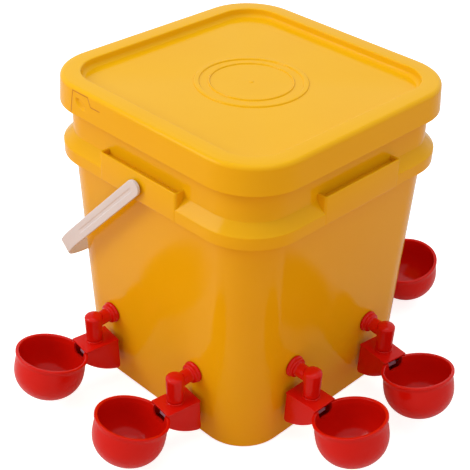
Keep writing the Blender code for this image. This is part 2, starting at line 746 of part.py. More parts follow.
def box_outline(inset):
    """(y, z) outline of the valve box: leaning back, rounded heel, and a belly that rises into the cup."""
    back = inset - BOX_BACK
    heel = inset - BOX_BACK - BOX_LEAN
    bottom = -BOX_DROP + inset
    corner = BOX_CORNER - inset / 2
    start = (heel + corner, bottom)
    belly = (BELLY_REACH - inset / 2, -BELLY_DROP + inset)
    nose = (NOSE_REACH, -NOSE_DROP + inset)
    curve = []
    for step in range(BEND_STEPS):
        t = step / (BEND_STEPS - 1)
        curve.append(tuple((1 - t) ** 2 * a + 2 * t * (1 - t) * b + t * t * c
                           for a, b, c in zip(start, belly, nose)))
    top = -COVER_DROP
    heel_arc = arc((heel + corner, bottom + corner), corner, 180, 270, 3)
    return [(NOSE_REACH, top), (back, top)] + heel_arc[:-1] + curve


def cup_profile(inset):
    """(radius, height) down the cup's outer side from its lip, or down its inside for an inset."""
    belly = CUP_BELLY - inset
    points = [(CUP_WAIST - inset, -CUP_LIP), (belly, -0.5 * (CUP_LIP + CUP_STRAIGHT) - CUP_LIP / 2)]
    bowl = arc((0.0, -CUP_STRAIGHT), belly, 0, -90, BOWL_STEPS, (CUP_DEPTH - CUP_STRAIGHT - inset) / belly)
    return points + bowl[:-1] + [(0.0, inset - CUP_DEPTH)]


def make_cup():
    """Cup and valve box, in one moulding, with the window between them."""
    place = Matrix.Translation((0, CUP_REACH, -CUP_DROP)) @ Matrix.Rotation(CUP_TILT, 4, "X")
    lip = [(0.0, 0.0), (CUP_RIM - LIP_ROUND, 0.0), (CUP_RIM, -LIP_ROUND)]
    cup = turned("cup", lip + cup_profile(0.0), CUP_STEPS, place)
    guard = turned("guard", lip + cup_profile(0.0), CUP_STEPS, place)
    above = 2 * CUP_LIP
    mouth = [(0.0, above), (CUP_RIM - CUP_WALL, above), (CUP_RIM - CUP_WALL, -LIP_ROUND)]
    inside = turned("inside", mouth + cup_profile(CUP_WALL), CUP_STEPS, place)
    join(cup, side_plate("box", box_outline(0.0), BOX_HALF))
    cavity = cut(side_plate("cavity", box_outline(BOX_WALL), BOX_HALF - BOX_WALL), guard)
    level = WINDOW_HALF - WINDOW_DROP
    window = rod("window", (0, PIN_REACH, level), (0, PIN_REACH + 4 * WINDOW_HALF / 3, level), WINDOW_HALF,
                 STEM_STEPS)
    opening = box("opening", (-WINDOW_HALF, PIN_REACH, level),
                  (WINDOW_HALF, PIN_REACH + 4 * WINDOW_HALF / 3, -COVER_DROP))
    holes = rod("pin_holes", (-2 * BOX_HALF, PIN_REACH, -PIN_DROP), (2 * BOX_HALF, PIN_REACH, -PIN_DROP),
                PIN_RADIUS + PIN_CLEARANCE, SMALL_STEPS)
    notch = box("notch", (-COVER_HALF - GAP, -COVER_BACK - GAP, -COVER_DROP - COVER_THICK - GAP),
                (COVER_HALF + GAP, COVER_REACH + GAP, COVER_DROP))
    return cut(cup, inside, cavity, window, opening, holes, notch)


def make_pin():
    """Steel hinge pin across the valve box."""
    half = BOX_HALF - GAP
    return rod("pin", (-half, PIN_REACH, -PIN_DROP), (half, PIN_REACH, -PIN_DROP), PIN_RADIUS, SMALL_STEPS)


def plunger_head_top():
    """Height of the plunger's head at rest, one travel under the valve seat."""
    return -COVER_DROP - COVER_THICK - SEAT_DROP - GAP - PLUNGER_TRAVEL


def plunger_foot_bottom():
    """Height of the plunger's foot at rest."""
    return plunger_head_top() - PLUNGER_HEAD - PLUNGER_FOOT_LENGTH


def make_plunger():
    """Valve plunger: guide pin in the waterway, rubber head and foot, built round its own axis."""
    top = 0.0
    guide = SEAT_DROP + PLUNGER_TRAVEL + COVER_THICK
    return turned("plunger", [
        (0.0, guide),
        (PLUNGER_GUIDE, guide),
        (PLUNGER_GUIDE, top),
        (PLUNGER_RADIUS, top),
        (PLUNGER_RADIUS, top - PLUNGER_HEAD),
        (PLUNGER_FOOT, top - PLUNGER_HEAD),
        (PLUNGER_FOOT, top - PLUNGER_HEAD - PLUNGER_FOOT_LENGTH),
        (0.0, top - PLUNGER_HEAD - PLUNGER_FOOT_LENGTH),
    ], SMALL_STEPS)


def make_lever():
    """Float lever: hub on the pin, arm under the plunger and float, built round the pin's axis."""
    level = plunger_foot_bottom() - LEVER_GAP + PIN_DROP
    lever = box("lever", (-LEVER_HALF, -FLOAT_FRONT - PIN_REACH - MM, level - LEVER_THICK),
                (LEVER_HALF, 0.0, level))
    floater = box("floater", (-FLOAT_HALF, -FLOAT_BACK - PIN_REACH, level - FLOAT_HEIGHT),
                  (FLOAT_HALF, -FLOAT_FRONT - PIN_REACH, level))
    soften(floater, FLOAT_ROUND, 1)
    hub = rod("hub", (-HUB_HALF, 0, 0), (HUB_HALF, 0, 0), HUB_RADIUS)
    web = box("web", (-LEVER_HALF, -HUB_RADIUS, level - LEVER_THICK / 2), (LEVER_HALF, 0.0, 0.0))
    join(lever, floater, hub, web)
    return cut(lever, rod("bore", (-2 * HUB_HALF, 0, 0), (2 * HUB_HALF, 0, 0), PIN_RADIUS + PIN_CLEARANCE,
                          SMALL_STEPS))


def soften(thing, width, segments):
    """Round a working object's edges with a Bevel modifier."""
    bevel = thing.modifiers.new("round", "BEVEL")
    bevel.width = width
    bevel.segments = segments
    bevel.limit_method = "ANGLE"
    bake(thing)


def make_drinkers():
    """One of each drinker piece, copied to every tap hole: some under the tap's empty, some under its cup's."""
    pin = (0.0, PIN_REACH, -PIN_DROP)
    valve = (0.0, 0.0, plunger_head_top())
    pieces = (
        ("elbow", make_elbow(), RED, "tap", (0, 0, 0)),
        ("washer", make_washer(), RUBBER, "tap", (0, 0, 0)),
        ("lock_nut", make_nut(), RED, "tap", (0, 0, 0)),
        ("cup", make_cup(), RED, "swivel", (0, 0, 0)),
        ("box_cover", make_cover(), RED, "swivel", (0, 0, 0)),
        ("hinge_pin", make_pin(), STEEL, "swivel", (0, 0, 0)),
        ("float_lever", make_lever(), PALE, "swivel", pin),
        ("plunger", make_plunger(), RUBBER, "swivel", valve),
    )
    for name, master, finish, _, _ in pieces:
        master.name = name
        dress(master, finish)
    for station, (side, along, height, swivel) in TAPS.items():
        tap = bpy.data.objects.new(f"tap_{station}", None)
        stem = bpy.data.objects.new(f"swivel_{station}", None)
        tap.matrix_world = tap_matrix(side, along, height)
        stem.parent = tap
        stem.matrix_local = cup_matrix(swivel)
        holders = {"tap": tap, "swivel": stem}
        for holder in holders.values():
            PARTS.objects.link(holder)
        for name, master, _, holder, place in pieces:
            part = bpy.data.objects.new(f"{name}_{station}", master.data)
            PARTS.objects.link(part)
            part.parent = holders[holder]
            part.location = place
    for _, master, _, _, _ in pieces:
        bpy.data.objects.remove(master)


def main():
    """Make every part."""
    make_bucket()
    make_lid()
    make_gasket()
    make_bail()
    make_drinkers()


main()
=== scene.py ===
"""Looks of the poultry drinker: a yellow lidded square bucket with a white bail and six red drinking cups.

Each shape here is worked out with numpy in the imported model's own frame, in metres, with the origin under
the middle of the bucket and +Z up, and rides on the body of the node that it stands for.  The nodes that no
shape stands for stay in sight and are given their material.
"""

import json
import logging
import math
from dataclasses import dataclass, field
from enum import Enum
from typing import Callable, Optional, Sequence

import bmesh
import bpy
import numpy as np
from mathutils import Matrix, Vector

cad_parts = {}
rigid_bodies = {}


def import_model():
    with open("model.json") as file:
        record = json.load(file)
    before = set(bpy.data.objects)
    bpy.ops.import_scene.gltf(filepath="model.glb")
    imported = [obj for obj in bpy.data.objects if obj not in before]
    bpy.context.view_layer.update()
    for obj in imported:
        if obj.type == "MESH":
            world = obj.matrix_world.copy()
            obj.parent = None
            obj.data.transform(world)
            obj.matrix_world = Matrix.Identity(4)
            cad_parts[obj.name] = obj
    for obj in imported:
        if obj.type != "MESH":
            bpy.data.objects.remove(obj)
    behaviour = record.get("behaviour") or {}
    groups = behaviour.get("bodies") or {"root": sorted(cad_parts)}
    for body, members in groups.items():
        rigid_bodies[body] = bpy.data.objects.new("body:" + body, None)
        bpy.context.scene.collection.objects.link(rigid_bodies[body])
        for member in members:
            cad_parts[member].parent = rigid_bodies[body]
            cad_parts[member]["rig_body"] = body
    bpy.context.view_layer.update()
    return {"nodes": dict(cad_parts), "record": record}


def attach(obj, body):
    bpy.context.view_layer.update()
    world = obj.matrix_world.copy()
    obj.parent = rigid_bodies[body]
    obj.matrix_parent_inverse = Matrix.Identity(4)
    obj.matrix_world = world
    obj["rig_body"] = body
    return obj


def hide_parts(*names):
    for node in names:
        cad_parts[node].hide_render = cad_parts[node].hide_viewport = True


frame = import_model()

LOG = logging.getLogger("poultry_drinker")
MM = 0.001
UNMOVED = np.eye(4)
# distances in metres under which points are one point, are merged in a mesh, and leave a face without area
SAME_POINT = 1e-6
MERGED = 2e-6
SLIVER = 1e-7
# half an angle in radians from which a corner stays as it is, and the most of a run that a fillet takes
NEARLY_STRAIGHT = 1.55
RUN_SHARE = 0.49
Array = np.ndarray
Piece = bpy.types.Object
Pair = tuple[float, float]
Colour = tuple[float, float, float]


class Side(Enum):
    """Side of the bucket, by the turn about Z that brings +Y out of it."""

    FRONT = math.pi
    RIGHT = -math.pi / 2
    BACK = 0.0
    LEFT = math.pi / 2

    @property
    def turn(self) -> Array:
        """4x4 turn about Z from the back side to this one."""
        return turn_about("Z", self.value)


def turn_about(axis: str, angle: float) -> Array:
    """4x4 turn about the axis "X", "Y" or "Z" through the origin, by an angle in radians, right-handed."""
    return np.array(Matrix.Rotation(angle, 4, axis))


def shift(across: float, out: float, up: float) -> Array:
    """4x4 move by a vector."""
    return np.array(Matrix.Translation((across, out, up)))


def placed(points: Array, matrix: Array) -> Array:
    """Points of any array shape (..., 3), carried through a 4x4 matrix."""
    return points @ matrix[:3, :3].T + matrix[:3, 3]


def arc(centre: Pair, radii: Pair, start: float, end: float, steps: int) -> Array:
    """Points at centre + (first radius * cos, second radius * sin) of angles from start to end in degrees."""
    angle = np.radians(np.linspace(start, end, steps + 1))
    return np.stack([centre[0] + radii[0] * np.cos(angle), centre[1] + radii[1] * np.sin(angle)], axis=1)


def filleted(corners: Sequence[tuple[float, float, float]], steps: int = 6) -> Array:
    """Line of corners with each corner rounded by an arc that is tangent to both its runs.

    Args:
        corners: (first, second, radius) of each corner; the two ends stay sharp.
        steps: Steps of each arc.

    Returns:
        Array (points, 2).
    """
    out = [np.array([corners[0][:2]])]
    share = np.linspace(0.0, 1.0, steps + 1)[:, None]
    for before, here, after in zip(corners, corners[1:], corners[2:]):
        corner = np.array(here[:2])
        back, ahead = np.array(before[:2]) - corner, np.array(after[:2]) - corner
        back_length, ahead_length = np.linalg.norm(back), np.linalg.norm(ahead)
        back, ahead = back / back_length, ahead / ahead_length
        half_angle = math.acos(float(np.clip(back @ ahead, -1.0, 1.0))) / 2
        tangent = here[2] / math.tan(half_angle) if half_angle < NEARLY_STRAIGHT else 0.0
        tangent = min(tangent, RUN_SHARE * back_length, RUN_SHARE * ahead_length)
        if tangent < SAME_POINT:
            out.append(corner[None])
            continue
        start, end = corner + back * tangent, corner + ahead * tangent
        # a rational curve of second order with this weight is the circle's arc
        middle = 2 * math.sin(half_angle) * share * (1 - share)
        weights = (1 - share) ** 2 + middle + share ** 2
        out.append(((1 - share) ** 2 * start + middle * corner + share ** 2 * end) / weights)
    out.append(np.array([corners[-1][:2]]))
    return np.concatenate(out)


def smooth_step(low: float, high: float, value: Array) -> Array:
    """0 under low, 1 over high, and an even S between."""
    share = np.clip((value - low) / (high - low), 0.0, 1.0)
    return share * share * (3 - 2 * share)


def new_object(name: str, data: bpy.types.ID) -> Piece:
    """Object with its data, linked to the scene."""
    thing = bpy.data.objects.new(name, data)
    bpy.context.scene.collection.objects.link(thing)
    return thing


def shaded(thing: Piece, sharp: float = 40.0) -> Piece:
    """Piece with smooth shading up to an angle in degrees between two faces."""
    thing.data.shade_smooth()
    thing.data.set_sharp_from_angle(angle=math.radians(sharp))
    return thing


def grid_object(name: str, points: Array, close_rows: bool = False) -> Piece:
    """Mesh object through a grid of points, with doubled points merged and faces turned outwards.

    Args:
        name: Name of the object.
        points: Array (rows, columns, 3); the last column joins the first.
        close_rows: Whether the last row joins the first.

    Returns:
        The object, at the origin, with its place in its mesh.
    """
    rows, columns = points.shape[:2]
    index = np.arange(rows * columns).reshape(rows, columns)
    index = np.concatenate([index, index[:1]]) if close_rows else index
    index = np.concatenate([index, index[:, :1]], axis=1)
    quads = np.stack([index[:-1, :-1], index[:-1, 1:], index[1:, 1:], index[1:, :-1]], axis=-1).reshape(-1, 4)
    mesh = bpy.data.meshes.new(name)
    mesh.from_pydata(points.reshape(-1, 3), [], quads.tolist())
    thing = new_object(name, mesh)
    work = bmesh.new()
    work.from_mesh(mesh)
    bmesh.ops.remove_doubles(work, verts=work.verts, dist=MERGED)
    bmesh.ops.dissolve_degenerate(work, dist=SLIVER, edges=work.edges)
    bmesh.ops.recalc_face_normals(work, faces=work.faces)
    work.to_mesh(mesh)
    work.free()
    return shaded(thing)


def applied(thing: Piece) -> Piece:
    """Piece with its modifiers worked into its mesh."""
    bpy.context.view_layer.update()
    mesh = bpy.data.meshes.new_from_object(thing.evaluated_get(bpy.context.evaluated_depsgraph_get()))
    thing.modifiers.clear()
    thing.data = mesh
    return thing


def revolved(name: str, profile: Array, steps: int, matrix: Array = UNMOVED) -> Piece:
    """Surface of revolution: each (radius, height) goes round Z as (radius * cos, radius * sin, height).

    Args:
        name: Name of the object.
        profile: Array (points, 2); a solid's has both ends on the axis, or its line is closed on itself.
        steps: Columns round the axis.
        matrix: Place of the axis.

    Returns:
        The object.
    """
    angle = np.linspace(0.0, 2 * math.pi, steps, endpoint=False)
    radius, height = profile[:, 0, None], profile[:, 1, None]
    points = np.stack([radius * np.cos(angle), radius * np.sin(angle), height + 0 * angle], axis=-1)
    return grid_object(name, placed(points, matrix), close_rows=profile[0, 0] > SAME_POINT)


def rounded_box(name: str, low: Sequence[float], high: Sequence[float], radius: float,
                matrix: Array = UNMOVED, steps: int = 4) -> Piece:
    """Box with rounded edges: the eight eighths of a ball, each moved out to its corner.

    Args:
        name: Name of the object.
        low: Lowest corner.
        high: Highest corner.
        radius: Radius of the edges.
        matrix: Place of the box.
        steps: Steps of each edge's quarter circle.

    Returns:
        The object.
    """
    low, high = np.array(low), np.array(high)
    middle, half = (low + high) / 2, (high - low) / 2 - radius
    quarter = np.linspace(0.0, math.pi / 2, steps + 1)
    turn = np.concatenate([quarter + k * math.pi / 2 for k in range(4)])
    across = np.repeat([1.0, -1.0, -1.0, 1.0], steps + 1)
    out = np.repeat([1.0, 1.0, -1.0, -1.0], steps + 1)
    rise = np.concatenate([quarter - math.pi / 2, quarter])[:, None]
    up = np.repeat([-1.0, 1.0], steps + 1)[:, None]
    points = np.stack([
        half[0] * across + radius * np.cos(rise) * np.cos(turn),
        half[1] * out + radius * np.cos(rise) * np.sin(turn),
        half[2] * up + radius * np.sin(rise) + 0 * turn,
    ], axis=-1)
    caps = [points[row].mean(axis=0) + 0 * points[row] for row in (0, -1)]
    points = np.concatenate([caps[:1], points, caps[1:]])
    return grid_object(name, placed(points + middle, matrix))


def carried(name: str, section: Array, path: Array, matrix: Array) -> Piece:
    """Closed bar: a section carried along a path that lies square to Z.

    Each point (out, up) of the section lies at path + out * normal + up * Z, where the normal is the path's
    tangent turned a quarter about Z.

    Args:
        name: Name of the object.
        section: Array (path points, section points, 2).
        path: Array (path points, 3).
        matrix: Place of the bar.

    Returns:
        The object.
    """
    tangent = np.gradient(path, axis=0)
    tangent /= np.linalg.norm(tangent, axis=1, keepdims=True)
    upright = np.array([0.0, 0.0, 1.0])
    normal = np.cross(upright, tangent)
    points = path[:, None] + section[..., :1] * normal[:, None] + section[..., 1:] * upright
    ends = [points[row].mean(axis=0) + 0 * points[row] for row in (0, -1)]
    return grid_object(name, placed(np.concatenate([ends[0][None], points, ends[1][None]]), matrix))


def combined(thing: Piece, others: Sequence[Piece], how: str) -> Piece:
    """Join solids to a solid with "UNION", or cut them from it with "DIFFERENCE", and remove them."""
    for other in others:
        step = thing.modifiers.new("step", "BOOLEAN")
        step.operation = how
        step.solver = "EXACT"
        step.object = other
    applied(thing)
    for other in others:
        bpy.data.objects.remove(other, do_unlink=True)
    return shaded(thing)


def melted(thing: Piece, grain: float, steps: int) -> Piece:
    """Solid remeshed to even quads and smoothed, so that its inner creases become small fillets.

    Args:
        thing: The solid.
        grain: Size of the quads.
        steps: Rounds of smoothing; each moves a point halfway to the mean of its neighbours.

    Returns:
        The same object.
    """
    remesh = thing.modifiers.new("remesh", "REMESH")
    remesh.mode = "VOXEL"
    remesh.voxel_size = grain
    smooth = thing.modifiers.new("smooth", "SMOOTH")
    smooth.factor = 0.5
    smooth.iterations = steps
    applied(thing).data.shade_smooth()
    return thing


def copied(thing: Piece, name: str, matrix: Array) -> Piece:
    """Copy of a piece under a name, its mesh carried through a matrix."""
    copy = new_object(name, thing.data.copy())
    copy.data.transform(Matrix(matrix))
    copy.data.name = name
    return copy


def operation(name: str, turned: bool = False) -> Callable[["Value", object], "Value"]:
    """Method that adds the Math node of an operation, with its two terms turned round for a reflected one."""
    def method(self: "Value", other: object) -> "Value":
        """Value of the operation on two terms."""
        terms = {0: other, 1: self} if turned else {0: self, 1: other}
        return self.graph.node("ShaderNodeMath", {"operation": name}, terms)[0]
    return method


class Value:
    """A shader socket that is used in expressions; each operation adds the Math node that it names."""

    def __init__(self, graph: "Graph", socket: bpy.types.NodeSocket) -> None:
        """Wrap an output socket of a graph."""
        self.graph = graph
        self.socket = socket

    __add__ = __radd__ = operation("ADD")
    __sub__ = operation("SUBTRACT")
    __rsub__ = operation("SUBTRACT", turned=True)
    __mul__ = __rmul__ = operation("MULTIPLY")
    least = operation("MINIMUM")
    most = operation("MAXIMUM")

    def size(self) -> "Value":
        """Absolute value."""
        return self.graph.node("ShaderNodeMath", {"operation": "ABSOLUTE"}, {0: self})[0]

    def between(self, low: float, high: float) -> "Value":
        """0 under low, 1 over high, and an even S between; falls instead where low is over high."""
        settings = {"interpolation_type": "SMOOTHSTEP"}
        first, last = (low, high) if low < high else (high, low)
        terms = {"Value": self, "From Min": first, "From Max": last}
        share = self.graph.node("ShaderNodeMapRange", settings, terms)[0]
        return share if low < high else 1 - share


class Graph:
    """The nodes of a material or of the world, with their main shader."""

    def __init__(self, owner: bpy.types.ID) -> None:
        """Turn the nodes of an owner on."""
        self.owner = owner
        owner.use_nodes = True
        self.tree = owner.node_tree
        self.shader = self.tree.nodes.get("Principled BSDF") or self.tree.nodes.get("Background")

    def node(self, kind: str, settings: dict[str, object], sockets: dict[object, object]) -> list[Value]:
        """Add a node.

        Args:
            kind: The node's type.
            settings: Its settings, set first.
            sockets: Values, numbers or colours of its input sockets, by name or place.

        Returns:
            Its output sockets, as Values.
        """
        node = self.tree.nodes.new(kind)
        for key, value in settings.items():
            setattr(node, key, value)
        for key, value in sockets.items():
            self.feed(node, key, value)
        return [Value(self, socket) for socket in node.outputs]

    def feed(self, node: bpy.types.Node, key: object, value: object) -> None:
        """Link a Value to a node's input, or set the input to a number or a colour."""
        socket = node.inputs[key]
        if isinstance(value, Value):
            self.tree.links.new(value.socket, socket)
        elif socket.type == "RGBA" and len(value) == 3:
            socket.default_value = (*value, 1.0)
        else:
            socket.default_value = value

    def place(self) -> Value:
        """Object coordinates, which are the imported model's own, in metres."""
        return self.node("ShaderNodeTexCoord", {}, {})[3]

    def parts(self, vector: Value) -> list[Value]:
        """The three components of a vector."""
        return self.node("ShaderNodeSeparateXYZ", {}, {0: vector})

    def noise(self, scale: float, detail: float = 2.0) -> Value:
        """Noise of about 0 to 1, with a number of patches for each metre."""
        terms = {"Vector": self.place(), "Scale": scale, "Detail": detail}
        return self.node("ShaderNodeTexNoise", {}, terms)[0]

    def blend(self, share: object, first: object, second: object) -> Value:
        """Colour between two, by a share from 0 to 1."""
        return self.node("ShaderNodeMix", {"data_type": "RGBA"}, {0: share, 6: first, 7: second})[2]

    def bump(self, height: Value, depth: float, before: Optional[Value] = None) -> Value:
        """Normal of a height from 0 to 1 that stands for a depth in metres."""
        sockets: dict[object, object] = {"Height": height, "Distance": depth, "Strength": 1.0}
        if before is not None:
            sockets["Normal"] = before
        return self.node("ShaderNodeBump", {}, sockets)[0]

    def finish(self, **sockets: object) -> bpy.types.ID:
        """Feed the shader's sockets, underscores standing for spaces, and return the owner."""
        for key, value in sockets.items():
            self.feed(self.shader, key.replace("_", " "), value)
        return self.owner


def material(name: str) -> Graph:
    """Graph of a new material."""
    return Graph(bpy.data.materials.new(name))


@dataclass(frozen=True)
class MouldedPlastic:
    """Coloured plastic from a polished mould: faint clouds in its colour, soft gloss and a fine grain."""

    name: str
    slot: str
    colour: Colour
    shade: Colour
    roughness: float
    cloud: float = 0.35
    grain: float = 0.003 * MM
    wave: float = 0.06 * MM
    mirror: float = 0.18

    def graph(self) -> tuple[Graph, Value, Value, Value]:
        """Start the material.

        Returns:
            The graph, its colour, its roughness and its normal.
        """
        graph = material(self.name)
        graph.shader.inputs["Specular IOR Level"].default_value = self.mirror
        cloud = graph.noise(14.0, 3.0).between(0.35, 0.75)
        speck = graph.noise(420.0, 1.0).between(0.45, 0.8)
        colour = graph.blend(cloud * self.cloud + speck * 0.06, self.colour, self.shade)
        rough = (graph.noise(60.0, 3.0) - 0.5) * 0.06 + self.roughness
        normal = graph.bump(graph.noise(650.0, 2.0), self.grain)
        normal = graph.bump(graph.noise(22.0, 1.0), self.wave, normal)
        return graph, colour, rough, normal

    def build(self) -> bpy.types.Material:
        """Make the material."""
        graph, colour, rough, normal = self.graph()
        return graph.finish(Base_Color=colour, Roughness=rough, Normal=normal)


@dataclass(frozen=True)
class ScoredPlastic(MouldedPlastic):
    """The lid's plastic, with the score lines of the tab that the front of its skirt carries, pressed in as a
    bump and darkened with painted shade.

    All sizes are in millimetres from the middle of the lid, and heights from the ground.
    """

    tab_left: float = -84.9
    tab_right: float = -58.2
    tab_top: float = 309.6
    step_height: float = 302.0
    step_end: float = -46.0
    front: float = -130.0
    tab_foot: float = 290.0
    left_lean: float = 0.125
    right_lean: float = 0.53
    soft_edge: float = 1.0
    line_half: float = 0.8
    line_depth: float = 0.3
    groove_shade_share: float = 0.85
    # darker colour of the score lines: painted shade of their grooves
    groove_shade_colour: Colour = (0.58, 0.18, 0.001)

    def build(self) -> bpy.types.Material:
        """Make the material.

        Each edge of the tab is a distance that grows outwards: its largest is the distance from the tab, and
        the smaller of that and the step's is the distance from the whole outline.
        """
        graph, colour, rough, normal = self.graph()
        across, out, up = (part * (1 / MM) for part in graph.parts(graph.place()))
        left = (up - self.tab_foot) * self.left_lean + self.tab_left - across
        right = (up - self.step_height) * self.right_lean + across - self.tab_right
        tab = left.most(up - self.tab_top).most(right)
        edge = tab.least(left.most(up - self.step_height))
        line = edge.size().between(self.line_half, 0.2 * self.line_half)
        line = line * across.between(self.step_end + self.soft_edge, self.step_end - self.soft_edge)
        line = line * out.between(self.front, self.front - self.soft_edge)
        # the score lines' darker colour is painted shade in their grooves; the bump gives them their depth
        return graph.finish(Base_Color=graph.blend(line * self.groove_shade_share, colour, self.groove_shade_colour),
                            Roughness=rough, Normal=graph.bump(1 - line, self.line_depth * MM, normal))


@dataclass(frozen=True)
class SoftRubber:
    """Black rubber with a dull bloom."""

    name: str
    slot: str
    colour: Colour = (0.018, 0.018, 0.019)

    def build(self) -> bpy.types.Material:
        """Make the material."""
        graph = material(self.name)
        bloom = graph.noise(90.0, 3.0).between(0.4, 0.8)
        colour = graph.blend(bloom, self.colour, tuple(2.2 * part for part in self.colour))
        return graph.finish(Base_Color=colour, Roughness=bloom * 0.15 + 0.6,
                            Normal=graph.bump(graph.noise(900.0), 0.02 * MM))


@dataclass(frozen=True)
class DrawnSteel:
    """Bright drawn wire with fine lines along it."""

    name: str
    slot: str
    colour: Colour = (0.60, 0.60, 0.62)

    def build(self) -> bpy.types.Material:
        """Make the material."""
        graph = material(self.name)
        graph.shader.inputs["Metallic"].default_value = 1.0
        lines = graph.noise(1500.0, 1.0)
        return graph.finish(Base_Color=graph.blend(lines, self.colour, (0.45, 0.45, 0.47)),
                            Roughness=lines * 0.2 + 0.2)


class Wardrobe:
    """The finishes of the object, each made once."""

    def __init__(self) -> None:
        """Make every material."""
        yellow = ("yellow_plastic", (0.86, 0.455, 0.004), (0.83, 0.415, 0.002), 0.15)
        self.yellow = MouldedPlastic("yellow_polypropylene", *yellow, mirror=0.11)
        self.lid = ScoredPlastic("yellow_polypropylene_lid", *yellow, mirror=0.11).build()
        self.red = MouldedPlastic("red_moulded_plastic", "red_plastic", (0.67, 0.007, 0.002),
                                  (0.62, 0.005, 0.002), 0.18)
        self.white = MouldedPlastic("white_moulded_plastic", "white_plastic", (0.72, 0.69, 0.72),
                                    (0.67, 0.63, 0.68), 0.34)
        # the float's pinkish tone is its own colour; its low brightness is painted shade, for the shade
        # inside the valve box
        self.float_painted_shade = MouldedPlastic("pink_float_plastic_painted_shade", "float_plastic", (0.40, 0.20, 0.26),
                                   (0.34, 0.16, 0.21), 0.5)
        self.rubber = SoftRubber("black_rubber", "rubber")
        self.steel = DrawnSteel("drawn_steel", "pin_steel")
        finishes = (self.yellow, self.red, self.white, self.float_painted_shade, self.rubber, self.steel)
        self.made = {finish.slot: finish.build() for finish in finishes}

    def dress(self, thing: Piece, slot: str, look: Optional[bpy.types.Material] = None) -> None:
        """Give a piece the material of a slot, or a look of its own."""
        thing.data.materials.clear()
        thing.data.materials.append(look or self.made[slot])

    def dress_nodes(self) -> None:
        """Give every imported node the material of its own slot."""
        for part in frame["record"]["subparts"]:
            self.dress(frame["nodes"][part["node"]], part["material_slot"])

    def hang(self, thing: Piece, slot: str, *nodes: str,
             look: Optional[bpy.types.Material] = None) -> Piece:
        """Dress a piece that stands for nodes, and let it ride on the first one's body."""
        self.dress(thing, slot, look)
        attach(thing, frame["nodes"][nodes[0]]["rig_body"])
        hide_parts(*nodes)
        LOG.info("%s: %d faces", thing.name, len(thing.data.polygons))
        return thing


@dataclass
class SquareForm:
    """The rounded square that the bucket and its lid share: half width and corner at each height."""

    wall: float = 2.4 * MM
    base_half: float = 116.6 * MM
    slope: float = 0.0375
    corner: float = 43.5 * MM
    least_corner: float = 8.0 * MM
    neck_bottom: float = 257.5 * MM
    corner_steps: int = 20

    @property
    def neck_half(self) -> float:
        """Half width of the upright neck."""
        return self.base_half + self.slope * self.neck_bottom

    def wall_half(self, height: Array) -> Array:
        """Half width of the outer wall at a height; the neck above it is upright."""
        return self.base_half + self.slope * np.minimum(height, self.neck_bottom)

    def surface(self, profile: Array, front: Sequence[float] = ()) -> Array:
        """Grid of points round the form for each point of a profile.

        A column on a corner lies at (half - radius) * corner sign + radius * its direction, and one on the
        front at (half - radius) * its share of the side.  The corner radius grows with the half width.

        Args:
            profile: Array (rows, 2) of half widths and heights.
            front: Extra columns on the front, as rising shares from -1 to 1 of its straight run.

        Returns:
            Array (rows, columns, 3).
        """
        quarter = np.linspace(0.0, math.pi / 2, self.corner_steps + 1)
        columns = []
        for k, sign in enumerate(((1.0, 1.0), (-1.0, 1.0), (-1.0, -1.0), (1.0, -1.0))):
            angle = quarter + k * math.pi / 2
            columns += list(zip(0 * angle + sign[0], 0 * angle + sign[1], np.cos(angle), np.sin(angle)))
            if k == 2:
                columns += [(share, -1.0, 0.0, -1.0) for share in front]
        column = np.array(columns)
        half, height = profile[:, 0, None], profile[:, 1, None]
        radius = np.maximum(self.corner + half - self.wall_half(height), self.least_corner)
        radius = np.minimum(radius, np.maximum(half, 0.0))
        return np.stack([
            (half - radius) * column[:, 0] + radius * column[:, 2],
            (half - radius) * column[:, 1] + radius * column[:, 3],
            height + 0 * column[:, 0],
        ], axis=-1)


